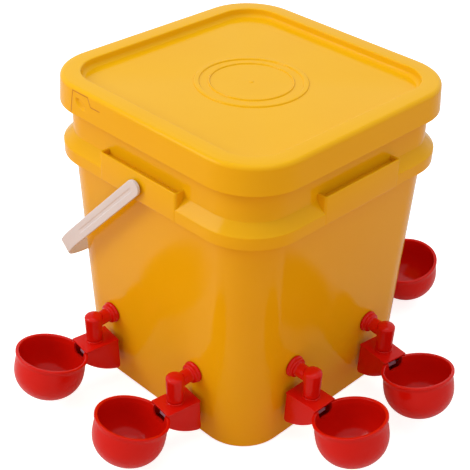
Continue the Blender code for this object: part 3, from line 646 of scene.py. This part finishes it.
@dataclass
class Bucket:
    """Square bucket: sloped walls, collar skirt, upright neck with its bead, and four raised panels."""

    form: SquareForm
    floor: float = 3.2 * MM
    foot_fillet: float = 3.2 * MM
    foot_width: float = 11.5 * MM
    pad_half: float = 70.0 * MM
    recess: float = 1.2 * MM
    collar_overhang: float = 9.3 * MM
    collar_bottom: float = 235.7 * MM
    collar_edge: float = 247.7 * MM
    top: float = 307.0 * MM
    bead_out: float = 2.9 * MM
    bead_height: float = 7.0 * MM
    panel_half: float = 49.0 * MM
    panel_top: float = 263.8 * MM
    panel_lift: float = 0.6 * MM
    panel_proud: float = 0.4 * MM
    panel_wall: float = 2.5 * MM
    panel_corner: float = 3.0 * MM
    panel_edge: float = 1.0 * MM
    panel_root: float = 1.2 * MM
    trough: float = 4.5 * MM
    trough_inset: float = 1.0 * MM

    @property
    def collar_half(self) -> float:
        """Half width of the collar's upright face."""
        return self.form.neck_half + self.collar_overhang

    @property
    def panel_face(self) -> float:
        """Distance of the panels' faces from the middle."""
        return self.collar_half + self.panel_proud

    def profile(self) -> Array:
        """(half width, height) round the bucket's section, from the underside's middle to the floor's."""
        neck, collar, wall = self.form.neck_half, self.collar_half, self.form.wall
        foot = self.form.base_half
        shoulder = math.hypot(self.collar_overhang, self.form.neck_bottom - self.collar_edge)
        under = wall * shoulder / self.collar_overhang
        inside = neck - wall
        return filleted([
            (0.0, 0.0, 0.0),
            (self.pad_half, 0.0, 0.0),
            (self.pad_half + self.recess, self.recess, 0.0),
            (foot - self.foot_width - self.recess, self.recess, 0.0),
            (foot - self.foot_width, 0.0, 0.5 * MM),
            (foot, 0.0, self.foot_fillet),
            (self.form.wall_half(self.form.neck_bottom - under), self.form.neck_bottom - under, 1.0 * MM),
            (collar - wall, self.collar_edge - under + wall, 1.0 * MM),
            (collar - wall, self.collar_bottom, 0.7 * MM),
            (collar, self.collar_bottom, 0.7 * MM),
            (collar, self.collar_edge, 1.6 * MM),
            (neck, self.form.neck_bottom, 1.2 * MM),
            (neck, self.top - self.bead_height, 0.6 * MM),
            (neck + self.bead_out, self.top - self.bead_height + self.bead_out / 2, 1.0 * MM),
            (neck + self.bead_out, self.top, 1.0 * MM),
            (inside, self.top, 0.8 * MM),
            (inside, self.form.neck_bottom, 3.0 * MM),
            (foot - wall, self.floor, 8.0 * MM),
            (0.0, self.floor, 0.0),
        ])

    def panel_path(self) -> Array:
        """Plan of a panel's wall on the back side: out from the neck, along the face and back in.

        Three straight runs with two quarter circles between them, at height 0.
        """
        reach = self.form.neck_half - self.panel_root
        half, face = self.panel_half, self.panel_face
        corner = self.panel_corner
        plan = filleted([(-half, reach, 0.0), (-half, face, corner), (half, face, corner),
                         (half, reach, 0.0)], 8)
        return np.stack([plan[:, 0], plan[:, 1], 0 * plan[:, 0]], axis=1)

    def panel(self, side: Side) -> Piece:
        """Raised panel: an upright section with rounded edges, carried round its plan."""
        low, high = self.collar_bottom + self.panel_lift, self.panel_top
        wall, edge, middle = self.panel_wall, self.panel_edge, (low + high) / 2
        low, high = low - middle, high - middle
        line = filleted([(-wall / 2, low, 0.0), (0.0, low, edge), (0.0, high, edge), (-wall, high, edge),
                         (-wall, low, edge), (-wall / 2, low, 0.0)], 4)[:-1]
        path = self.panel_path() + np.array([0.0, 0.0, middle])
        section = np.broadcast_to(line, (len(path), *line.shape))
        return carried(f"bucket_panel_{side.name.lower()}", section, path, side.turn)

    def build(self, wardrobe: Wardrobe) -> None:
        """Make the bucket and its panels."""
        body = grid_object("bucket_shell", self.form.surface(self.profile()))
        wardrobe.hang(body, "yellow_plastic", "bucket")
        inset = self.trough_inset
        low = (inset - self.panel_half, self.form.neck_half - inset, self.collar_edge)
        high = (self.panel_half - inset, self.panel_face - inset, self.panel_top - self.trough)
        for side in Side:
            wardrobe.hang(self.panel(side), "yellow_plastic", "bucket")
            name = f"bucket_trough_{side.name.lower()}"
            wardrobe.hang(rounded_box(name, low, high, 0.5 * MM, side.turn, 2), "yellow_plastic", "bucket")


@dataclass
class Lid:
    """Lid: skirt with a rounded top edge, recessed panel with two raised rings, and a thumb dip."""

    form: SquareForm
    top: float = 313.0 * MM
    half: float = 135.0 * MM
    flare: float = 1.6 * MM
    wall: float = 2.3 * MM
    fillet: float = 4.0 * MM
    skirt: float = 26.0 * MM
    rim_width: float = 18.2 * MM
    recess: float = 8.5 * MM
    plug_depth: float = 10.0 * MM
    plug_wall: float = 2.0 * MM
    gap: float = 0.3 * MM
    ridge_height: float = 1.0 * MM
    wide_ring: Pair = (46.5 * MM, 52.0 * MM)
    fine_ring: Pair = (36.9 * MM, 39.1 * MM)
    thumb_width: float = 15.1 * MM
    thumb_height: float = 7.2 * MM
    thumb_depth: float = 2.0 * MM
    thumb_lean: float = math.radians(26.0)
    thumb_place: float = -72.2 * MM
    thumb_drop: float = 13.0 * MM
    thumb_fall: Pair = (0.60, 1.05)
    thumb_rows: int = 44
    thumb_columns: int = 40
    gate_radius: float = 2.2 * MM
    gate_proud: float = 0.4 * MM
    gate_edge: float = 0.3 * MM

    def profile(self) -> Array:
        """(half width, height) round the lid's section, from the panel's top to its underside."""
        inner = self.half - self.rim_width
        floor, bottom = self.top - self.recess, self.top - self.skirt
        skirt, ceiling = self.half + self.flare, self.top - self.wall
        plug = self.form.neck_half - self.form.wall - self.gap
        outside = filleted([
            (0.0, floor, 0.0),
            (inner, floor, 5.0 * MM),
            (inner, self.top, 1.2 * MM),
            (self.half, self.top, self.fillet),
            (skirt, bottom, 0.6 * MM),
            (skirt - self.wall, bottom, 0.6 * MM),
            (self.half - self.wall, ceiling, 2.0 * MM),
            (plug, ceiling, 0.0),
            (plug, ceiling - self.plug_depth, 0.5 * MM),
            (plug - self.plug_wall, ceiling - self.plug_depth, 0.5 * MM),
            (plug - self.plug_wall, ceiling, 0.0),
            (inner + self.wall, ceiling, 0.0),
            (inner + self.wall, floor - self.wall, 4.0 * MM),
            (0.0, floor - self.wall, 0.0),
        ], 7)
        # more rows down the skirt's face, for the thumb dip
        fall = np.abs(np.diff(outside[:, 1])) * (outside[:-1, 0] > self.half - MM)
        start = int(np.argmax(fall))
        rows = np.linspace(0.0, 1.0, self.thumb_rows)[1:-1, None]
        face = outside[start] + rows * (outside[start + 1] - outside[start])
        return np.concatenate([outside[:start + 1], face, outside[start + 1:]])

    def dip(self, points: Array) -> Array:
        """Press the thumb dip into the front of the skirt.

        The depth is full inside an oval round the dip's middle and falls to nothing in a smooth step between
        two shares of the oval's size.  Only the points of the skirt's outer face move.
        """
        across, up = points[..., 0] - self.thumb_place, points[..., 2] - (self.top - self.thumb_drop)
        cosine, sine = math.cos(self.thumb_lean), math.sin(self.thumb_lean)
        long = (cosine * across - sine * up) / (self.thumb_width / 2)
        short = (sine * across + cosine * up) / (self.thumb_height / 2)
        depth = self.thumb_depth * (1 - smooth_step(*self.thumb_fall, np.hypot(long, short)))
        outer = points[..., 1] < -(self.half - 0.05 * MM)
        return points + np.stack([0 * depth, depth * outer, 0 * depth], axis=-1)

    def build(self, wardrobe: Wardrobe) -> None:
        """Make the lid and its rings."""
        straight = self.form.neck_half - self.form.corner
        dense = self.thumb_place + self.thumb_width * np.linspace(-0.7, 0.7, self.thumb_columns)
        shares = np.clip(dense / straight, -0.999, 0.999)
        shell = grid_object("lid_shell", self.dip(self.form.surface(self.profile(), shares)))
        wardrobe.hang(shell, "yellow_plastic", "lid", look=wardrobe.lid)
        floor = self.top - self.recess
        wide, low, high, edge = self.gate_radius, floor - MM, floor + self.gate_proud, self.gate_edge
        gate = np.array([(0.0, low), (wide, low), (wide, high - edge), (wide - edge, high), (0.0, high)])
        wardrobe.hang(revolved("lid_gate", gate, 32), "yellow_plastic", "lid")
        high, under = floor + self.ridge_height, floor - 0.6 * MM
        for kind, (inner, outer) in (("wide", self.wide_ring), ("fine", self.fine_ring)):
            edge = min(0.8 * MM, 0.45 * (outer - inner))
            middle = (inner + outer) / 2
            profile = filleted([
                (middle, under, 0.0), (outer, under, 0.0), (outer, floor, 0.0),
                (outer - edge, high, 0.5 * MM), (inner + edge, high, 0.5 * MM),
                (inner, floor, 0.0), (inner, under, 0.0), (middle, under, 0.0),
            ], 4)[:-1]
            wardrobe.hang(revolved(f"lid_ring_{kind}", profile, 160), "yellow_plastic", "lid")


@dataclass
class Bail:
    """White bail: a flat strap bent to a U, with a groove along each arm, a grip and a pin at each end."""

    form: SquareForm
    panel_face: float
    width: float = 15.0 * MM
    thick: float = 2.6 * MM
    edge: float = 0.9 * MM
    gap: float = 2.4 * MM
    hang: float = math.radians(46.0)
    reach: float = 205.0 * MM
    bend_along: float = 82.0 * MM
    bend_across: float = 64.0 * MM
    pivot_height: float = 250.0 * MM
    pin_radius: float = 4.0 * MM
    pin_length: float = 6.0 * MM
    pin_edge: float = 0.6 * MM
    grip_length: float = 92.0 * MM
    grip_width: float = 20.0 * MM
    grip_round: float = 4.0 * MM
    grip_proud: float = 1.0 * MM
    groove_width: float = 3.4 * MM
    groove_depth: float = 0.5 * MM
    groove_start: float = 3.0 * MM
    groove_length: float = 108.0 * MM

    @property
    def arm(self) -> float:
        """Distance of each arm's middle from the bucket's middle."""
        return self.panel_face + self.gap + self.thick / 2

    @property
    def place(self) -> Array:
        """Frame of the bail: X along its arms from the pivots."""
        return shift(0.0, 0.0, self.pivot_height) @ turn_about("Y", math.pi - self.hang)

    def path(self) -> Array:
        """Middle line of the strap: round end, arm, a quarter of an ellipse, cross-bar, and the same back."""
        middle = self.thick / 2
        start = self.reach - self.bend_along
        end = -self.width / 2 * np.cos(np.linspace(0.05, math.pi / 2, 16))
        line = np.concatenate([end[:-1], np.linspace(0.0, start, 60)[:-1]])
        arm = np.stack([line, self.arm + 0 * line], axis=1)
        bend = arc((start, self.arm + middle - self.bend_across),
                   (self.bend_along - middle, self.bend_across - middle), 90, 0, 28)
        half = np.concatenate([arm, bend])
        bar = np.linspace(bend[-1, 1], 0.0, 6)[1:]
        half = np.concatenate([half, np.stack([0 * bar + bend[-1, 0], bar], axis=1)])
        plan = np.concatenate([half, (half * [1, -1])[::-1][1:]])
        return np.stack([plan[:, 0], plan[:, 1], 0 * plan[:, 0]], axis=1)

    def section(self, path: Array) -> Array:
        """Section of the strap at each point of its path: a rounded bar with a groove in its outer face.

        Past the pivots the bar's width falls to nothing as a half circle.  The groove's depth is a smooth
        step across its width and at both ends of its run along the arm.
        """
        half, depth, edge = self.width / 2, self.thick / 2, self.edge
        face = np.linspace(-0.9, 0.9, 31) * (half - edge)
        corners = filleted([(0.0, half, 0.0), (depth, half, edge), (depth, half - 2 * edge, 0.0)], 4)[:-1]
        flat = np.stack([0 * face + depth, face[::-1]], axis=1)
        outer = np.concatenate([corners, flat, (corners * [1, -1])[::-1]])
        line = np.concatenate([outer, (outer * [-1, 1])[::-1][1:-1]])
        section = np.broadcast_to(line, (len(path), *line.shape)).copy()
        run = path[:, 0]
        share = smooth_step(self.groove_start, self.groove_start + MM, run)
        share = share * (1 - smooth_step(self.groove_start + self.groove_length - MM,
                                         self.groove_start + self.groove_length, run))
        across = 1 - smooth_step(0.35, 0.55, np.abs(section[..., 1]) / self.groove_width)
        cut_in = (section[..., 0] > 0.4 * depth) * across * share[:, None]
        section[..., 0] -= self.groove_depth * cut_in
        past = np.clip(-run / half, 0.0, 1.0)
        section[..., 1] *= np.sqrt(1 - past ** 2)[:, None]
        return section

    def grip_inner(self) -> float:
        """Reach at which the grip's lower inner edge rests on the sloped wall."""
        cosine, sine = math.cos(self.hang), math.sin(self.hang)
        side = self.grip_width / 2 - self.grip_round
        rest = (self.grip_round + 0.3 * MM) / math.cos(math.atan(self.form.slope))
        level = self.form.base_half + self.form.slope * (self.pivot_height - side * cosine)
        level += side * sine + rest
        return level / (cosine + self.form.slope * sine) - self.grip_round

    def build(self, wardrobe: Wardrobe) -> None:
        """Make the strap, its pins and the grip."""
        path = self.path()
        strap = carried("bail_strap", self.section(path), path, self.place)
        grip = rounded_box("bail_grip", (self.grip_inner(), -self.grip_length / 2, -self.grip_width / 2),
                           (self.reach + self.grip_proud, self.grip_length / 2, self.grip_width / 2),
                           self.grip_round, self.place, 6)
        pieces = [strap, grip]
        for sign, name in ((-1, "front"), (1, "back")):
            inner = sign * (self.arm - self.thick / 2)
            pin = sign * (self.panel_face - self.pin_length)
            radius, edge, outer = self.pin_radius, self.pin_edge, inner + sign * MM
            profile = np.array([(0.0, pin), (radius - edge, pin), (radius, pin + sign * edge),
                                (radius, outer), (0.0, outer)])
            axis = self.place @ turn_about("X", -math.pi / 2)
            pieces.append(revolved(f"bail_pin_{name}", profile, 40, axis))
        for piece in pieces:
            wardrobe.hang(piece, "white_plastic", "bail", "bail_arm_front", "bail_arm_back")


@dataclass(frozen=True)
class Tap:
    """Place of a drinker: its side, place along it and height in millimetres, its cup's turn in degrees."""

    side: Side
    along: float
    height: float
    swivel: float

    def frame(self, form: SquareForm) -> Array:
        """Frame of the tap hole: +Y out of the side, origin on the wall's outer face."""
        # the place along a side is the world's X or Y, which runs with the frame's X or against it
        sense = round(float(self.side.turn[:2, 0].sum()))
        height = self.height * MM
        return self.side.turn @ shift(self.along * sense * MM, float(form.wall_half(height)), height)


@dataclass
class Drinker:
    """One kind of drinking cup with its elbow, valve box and cover, at each tap hole.

    The elbow is drawn in the tap hole's frame.  The rest is drawn on the stem's axis, about which it turns.
    """

    form: SquareForm
    taps: dict[str, Tap] = field(default_factory=lambda: {
        "front_left": Tap(Side.FRONT, -60.9, 75.8, -8.4),
        "front_right": Tap(Side.FRONT, 54.7, 71.6, -7.4),
        "right_front": Tap(Side.RIGHT, -57.1, 82.6, -0.4),
        "right_back": Tap(Side.RIGHT, 47.9, 78.6, -8.0),
        "back_right": Tap(Side.BACK, 60.2, 70.2, 0.0),
        "back_left": Tap(Side.BACK, -60.2, 74.0, 0.0),
    })
    gap: float = 0.3 * MM
    pipe_radius: float = 5.5 * MM
    pipe_inside: float = 12.0 * MM
    flange_radius: float = 10.6 * MM
    flange_thick: float = 2.6 * MM
    hub_radius: float = 9.6 * MM
    hub_length: float = 6.6 * MM
    neck_radius: float = 6.8 * MM
    stem_reach: float = 23.7 * MM
    stem_top: float = 9.0 * MM
    stem_radius_top: float = 8.6 * MM
    stem_radius_foot: float = 7.7 * MM
    dome: float = 4.0 * MM
    elbow_grain: float = 0.45 * MM
    elbow_blend: int = 6
    cover_drop: float = 21.7 * MM
    cover_thick: float = 2.0 * MM
    cover_half: float = 13.5 * MM
    cover_back: float = 19.1 * MM
    cover_reach: float = 17.0 * MM
    boss_radius: float = 8.4 * MM
    boss_height: float = 1.8 * MM
    box_half: float = 12.6 * MM
    box_wall: float = 1.8 * MM
    box_back: float = 18.9 * MM
    box_lean: float = 1.5 * MM
    box_drop: float = 57.3 * MM
    box_corner: float = 3.0 * MM
    belly: Pair = (4.5 * MM, 52.0 * MM)
    nose: Pair = (24.0 * MM, 28.5 * MM)
    cup_reach: float = 45.9 * MM
    cup_drop: float = 16.7 * MM
    cup_tilt: float = math.radians(13.7)
    cup_rim: float = 34.3 * MM
    cup_waist: float = 32.7 * MM
    cup_belly: float = 33.3 * MM
    cup_lip: float = 4.5 * MM
    cup_straight: float = 16.4 * MM
    cup_depth: float = 45.8 * MM
    bowl_power: float = 2.2
    cup_wall: float = 1.7 * MM
    lip_width: float = 3.3 * MM
    window_half: float = 9.0 * MM
    window_drop: float = 36.5 * MM
    pin_reach: float = 11.3 * MM

    def cup_frame(self, tap: Tap) -> Array:
        """Frame of a cup: on the stem's axis at the tap hole's height, turned about the axis."""
        swivel = turn_about("Z", math.radians(tap.swivel))
        return tap.frame(self.form) @ shift(0.0, self.stem_reach, 0.0) @ swivel

    @property
    def square_to_wall(self) -> Array:
        """Small turn that sets the pipe square to the sloped wall."""
        return turn_about("X", -math.atan(self.form.slope))

    def elbow(self) -> Piece:
        """Pipe with its flange and hub, and the upright stem with its rounded top, run into each other."""
        flange = self.gap + self.flange_thick
        wide, narrow = self.flange_radius, self.pipe_radius
        pipe = filleted([
            (0.0, -self.pipe_inside, 0.0),
            (narrow, -self.pipe_inside, 0.0),
            (narrow, self.gap, 0.0),
            (wide, self.gap, 0.5 * MM),
            (wide, flange, 0.8 * MM),
            (self.hub_radius, flange, 0.0),
            (self.hub_radius, self.hub_length, 2.6 * MM),
            (self.neck_radius, self.hub_length, 1.5 * MM),
            (self.neck_radius, self.stem_reach, 0.0),
            (0.0, self.stem_reach, 0.0),
        ])
        elbow = revolved("elbow_master", pipe, 48, self.square_to_wall @ turn_about("X", -math.pi / 2))
        foot = self.boss_height + self.gap - self.cover_drop
        shoulder = self.stem_top - self.dome
        dome = arc((0.0, shoulder), (self.stem_radius_top, self.dome), 90, 0, 12)
        stem = np.concatenate([dome, [(self.stem_radius_foot, foot), (0.0, foot)]])
        upright = revolved("stem", stem, 48, shift(0.0, self.stem_reach, 0.0))
        return melted(combined(elbow, [upright], "UNION"), self.elbow_grain, self.elbow_blend)

    def cover(self) -> Piece:
        """Plate on the valve box, with the low boss that the stem stands on."""
        low = -self.cover_drop - self.cover_thick
        plate = rounded_box("cover_master", (-self.cover_half, -self.cover_back, low),
                            (self.cover_half, self.cover_reach, -self.cover_drop), 0.5 * MM, steps=3)
        high = self.boss_height - self.cover_drop
        boss = np.array([(0.0, low + MM), (self.boss_radius, low + MM), (self.boss_radius, high - 0.4 * MM),
                         (self.boss_radius - 0.4 * MM, high), (0.0, high)])
        return combined(plate, [revolved("boss", boss, 40)], "UNION")

    def cup_line(self, inset: float) -> Array:
        """(radius, height) down the cup's outer side from its lip, or down its inside for an inset."""
        belly = self.cup_belly - inset
        neck = filleted([
            (self.cup_waist - inset + 0.4 * MM, -self.cup_lip + 1.5 * MM, 0.0),
            (self.cup_waist - inset, -self.cup_lip - 1.0 * MM, 6.0 * MM),
            (belly, -0.75 * self.cup_straight, 30.0 * MM),
            (belly, -self.cup_straight, 0.0)], 6)
        # the bowl is fuller than half an ellipse: x to this power plus y to this power is one
        angle = np.radians(np.linspace(0.0, 90.0, 25))
        power = 2 / self.bowl_power
        fall = self.cup_depth - self.cup_straight - inset
        bowl = np.stack([belly * np.cos(angle).clip(0.0) ** power,
                         -self.cup_straight - fall * np.sin(angle) ** power], axis=1)
        return np.concatenate([neck, bowl[1:]])

    def box_line(self, inset: float) -> Array:
        """(out, height) outline of the valve box: leaning back, rounded heel, belly rising into the cup."""
        back = inset - self.box_back
        heel = back - self.box_lean
        bottom = -self.box_drop + inset
        corner = self.box_corner - inset / 2
        # a curve of second order from the heel, pulled towards the belly point, to the nose inside the cup
        share = np.linspace(0.0, 1.0, 17)[:, None]
        start, end = np.array([heel + corner, bottom]), np.array([self.nose[0], inset - self.nose[1]])
        pull = np.array([self.belly[0] - inset / 2, inset - self.belly[1]])
        curve = (1 - share) ** 2 * start + 2 * share * (1 - share) * pull + share ** 2 * end
        heel_arc = arc((heel + corner, bottom + corner), (corner, corner), 180, 270, 6)
        top = [(self.nose[0], -self.cover_drop), (back, -self.cover_drop)]
        return np.concatenate([top, heel_arc[:-1], curve])

    def slab(self, name: str, line: Array, half: float, edge: float) -> Piece:
        """Solid between X = -half and half with an (out, height) outline, its rims drawn in by an edge."""
        middle = line.mean(axis=0)
        steps = np.radians(np.linspace(0, 90, 4))
        rim, drawn = edge * (1 - np.cos(steps)), edge * (1 - np.sin(steps))
        across = np.concatenate([[-half], rim - half, half - rim[::-1], [half]])
        pull = np.concatenate([[math.inf], drawn, drawn[::-1], [math.inf]])
        tangent = np.roll(line, -1, axis=0) - np.roll(line, 1, axis=0)
        tangent /= np.linalg.norm(tangent, axis=1, keepdims=True)
        inward = np.stack([-tangent[:, 1], tangent[:, 0]], axis=1)
        if ((middle - line) * inward).sum() < 0:
            inward = -inward
        rows = []
        for place, amount in zip(across, pull):
            ring = line + amount * inward if math.isfinite(amount) else np.broadcast_to(middle, line.shape)
            rows.append(np.stack([0 * ring[:, 0] + place, ring[:, 0], ring[:, 1]], axis=1))
        return grid_object(name, np.array(rows))

    def cup(self) -> Piece:
        """Cup and valve box in one moulding, with the window between them."""
        place = shift(0.0, self.cup_reach, -self.cup_drop) @ turn_about("X", self.cup_tilt)
        lip = filleted([
            (self.cup_rim - self.cup_wall, -0.5 * self.cup_lip, 0.0),
            (self.cup_rim - self.cup_wall + 0.1 * MM, 0.0, 0.8 * MM),
            (self.cup_rim, 0.0, 1.3 * MM),
            (self.cup_rim - 0.2 * MM, -0.6 * self.cup_lip, 1.5 * MM),
            (self.cup_waist + 0.4 * MM, -self.cup_lip + 1.5 * MM, 0.0)], 6)
        # the solid is flat inside the lip's top arc, which it joins past the arc's first point
        crest = 9
        full = np.concatenate([[(0.0, 0.0)], lip[crest:], self.cup_line(0.0)[1:]])
        solid, guard = (revolved(name, full, 96, place) for name in ("cup_master", "guard"))
        above = 2 * self.cup_lip
        inner = self.cup_line(self.cup_wall)
        edge = self.cup_rim - self.lip_width
        hollow_rim = np.array([(0.0, above), (edge + 1.1 * MM, above), (edge + 1.1 * MM, 0.0),
                               (edge + 0.55 * MM, -0.15 * MM), (edge + 0.15 * MM, -0.55 * MM),
                               (edge, -1.1 * MM), (edge - 0.1 * MM, -2.2 * MM)])
        hollow = revolved("hollow", np.concatenate([hollow_rim, inner[1:]]), 96, place)
        combined(solid, [self.slab("box", self.box_line(0.0), self.box_half, 0.6 * MM)], "UNION")
        cavity = self.slab("cavity", self.box_line(self.box_wall), self.box_half - self.box_wall, 0.3 * MM)
        combined(cavity, [guard], "DIFFERENCE")
        level = self.window_half - self.window_drop
        depth = 4 * self.window_half / 3
        wide, near, far = self.window_half, self.pin_reach, self.pin_reach + depth
        arch = arc((0.0, level), (wide, wide), 180, 360, 24)
        arch = np.concatenate([arch, [(wide, -self.cover_drop), (-wide, -self.cover_drop)]])
        rows = [np.stack([arch[:, 0] * k, 0 * arch[:, 0] + out, (arch[:, 1] - level) * k + level], axis=1)
                for out, k in ((near, 0.0), (near, 1.0), (far, 1.0), (far, 0.0))]
        window = grid_object("window", np.array(rows))
        notch = rounded_box("notch", (-self.cover_half - self.gap, -self.cover_back - self.gap,
                                      -self.cover_drop - self.cover_thick - self.gap),
                            (self.cover_half + self.gap, self.cover_reach + 2.0 * MM, self.cover_drop),
                            0.1 * MM, steps=1)
        return combined(solid, [hollow, cavity, window, notch], "DIFFERENCE")

    def build(self, wardrobe: Wardrobe) -> None:
        """Make one of each piece and copy it to every tap hole."""
        masters = {"elbow": self.elbow(), "box_cover": self.cover(), "cup": self.cup()}
        for station, tap in self.taps.items():
            for kind, master in masters.items():
                place = tap.frame(self.form) if kind == "elbow" else self.cup_frame(tap)
                piece = copied(master, f"{kind}_{station}_shell", place)
                wardrobe.hang(piece, "red_plastic", f"{kind}_{station}")
        for master in masters.values():
            bpy.data.objects.remove(master, do_unlink=True)


@dataclass
class Studio:
    """White sweep, soft lamps and the camera of the photograph."""

    azimuth: float = 43.402
    elevation: float = 33.217
    roll: float = 0.038
    distance: float = 1.0674
    focal_pixels: float = 1105.8
    frame_pixels: float = 470.0
    sensor: float = 36.0
    far: float = 20.0
    centre: Pair = (250.26, 236.1)
    target_height: float = 0.15637
    target_right: float = 0.0042
    target_up: float = -0.0140
    floor_radius: float = 6.0
    sunk: float = 0.05 * MM
    lamp_aim: float = 0.15
    glow: float = 0.75
    level: float = 0.71
    bounce: Colour = (0.82, 0.42, 0.12)

    def camera(self) -> None:
        """Camera at the photograph's own place, angle and framing."""
        azimuth, elevation = math.radians(self.azimuth), math.radians(self.elevation)
        back = Vector((math.sin(azimuth) * math.cos(elevation), -math.cos(azimuth) * math.cos(elevation),
                       math.sin(elevation)))
        right = (-back).cross(Vector((0.0, 0.0, 1.0))).normalized()
        up = right.cross(-back)
        target = Vector((0.0, 0.0, self.target_height)) + self.target_right * right + self.target_up * up
        cosine, sine = math.cos(self.roll), math.sin(self.roll)
        right, up = cosine * right + sine * up, -sine * right + cosine * up
        place = Matrix((right, up, back)).transposed().to_4x4()
        place.translation = target + back * self.distance
        data = bpy.data.cameras.new("photo_camera")
        camera = new_object("photo_camera", data)
        camera.matrix_world = place
        data.sensor_width = self.sensor
        data.lens = self.sensor * self.focal_pixels / self.frame_pixels
        data.shift_x = (self.frame_pixels / 2 - self.centre[0]) / self.frame_pixels
        data.shift_y = (self.centre[1] - self.frame_pixels / 2) / self.frame_pixels
        data.clip_end = self.far
        bpy.context.scene.camera = camera

    def floor(self) -> None:
        """Round white floor that keeps the object's shadow and shows white to the camera around it."""
        floor = revolved("floor", np.array([(0.0, -self.sunk), (self.floor_radius, -self.sunk)]), 64)
        graph = material("white_floor")
        rays = graph.node("ShaderNodeLightPath", {}, {})
        seen, bounced = rays[0], rays[2]
        graph.finish(Base_Color=graph.blend(bounced, (0.82, 0.82, 0.82), self.bounce), Roughness=0.9,
                     Emission_Color=graph.blend(seen, (0.0, 0.0, 0.0), 3 * (self.glow,)),
                     Emission_Strength=1.0)
        floor.data.materials.append(graph.owner)

    def world(self) -> None:
        """White surroundings: full white to the camera, mirrored and transmitted rays, a plain level else."""
        bpy.context.scene.world = bpy.data.worlds.new("surroundings")
        graph = Graph(bpy.context.scene.world)
        rays = {value.socket.name: value for value in graph.node("ShaderNodeLightPath", {}, {})}
        white = rays["Is Camera Ray"].most(rays["Is Glossy Ray"]).most(rays["Is Transmission Ray"])
        graph.finish(Color=(1.0, 1.0, 1.0), Strength=white * (1.0 - self.level) + self.level)

    def lamp(self, name: str, place: Sequence[float], size: Pair, power: float,
             colour: Colour = (1.0, 1.0, 1.0)) -> None:
        """Soft rectangular lamp that points at the object's middle."""
        data = bpy.data.lights.new(name, "AREA")
        data.shape = "RECTANGLE"
        data.size, data.size_y = size
        data.energy = power
        data.color = colour
        lamp, place = new_object(name, data), Vector(place)
        ray = Vector((0.0, 0.0, self.lamp_aim)) - place
        lamp.matrix_world = Matrix.Translation(place) @ ray.to_track_quat("-Z", "Y").to_matrix().to_4x4()

    def build(self) -> None:
        """Make the camera, the floor and the light."""
        self.camera()
        self.floor()
        self.world()
        self.lamp("key_lamp", (-0.9, -1.5, 1.3), (1.0, 1.0), 14.0)
        self.lamp("top_lamp", (0.1, -0.1, 1.9), (1.4, 1.4), 6.8)
        bpy.context.scene.view_settings.view_transform = "Standard"


def main() -> None:
    """Build every piece in order."""
    logging.basicConfig(level=logging.INFO, format="%(name)s: %(message)s")
    Studio().build()
    wardrobe = Wardrobe()
    wardrobe.dress_nodes()
    form = SquareForm()
    bucket = Bucket(form)
    bucket.build(wardrobe)
    Lid(form).build(wardrobe)
    Bail(form, bucket.panel_face).build(wardrobe)
    Drinker(form).build(wardrobe)


if __name__ == "__main__":
    main()
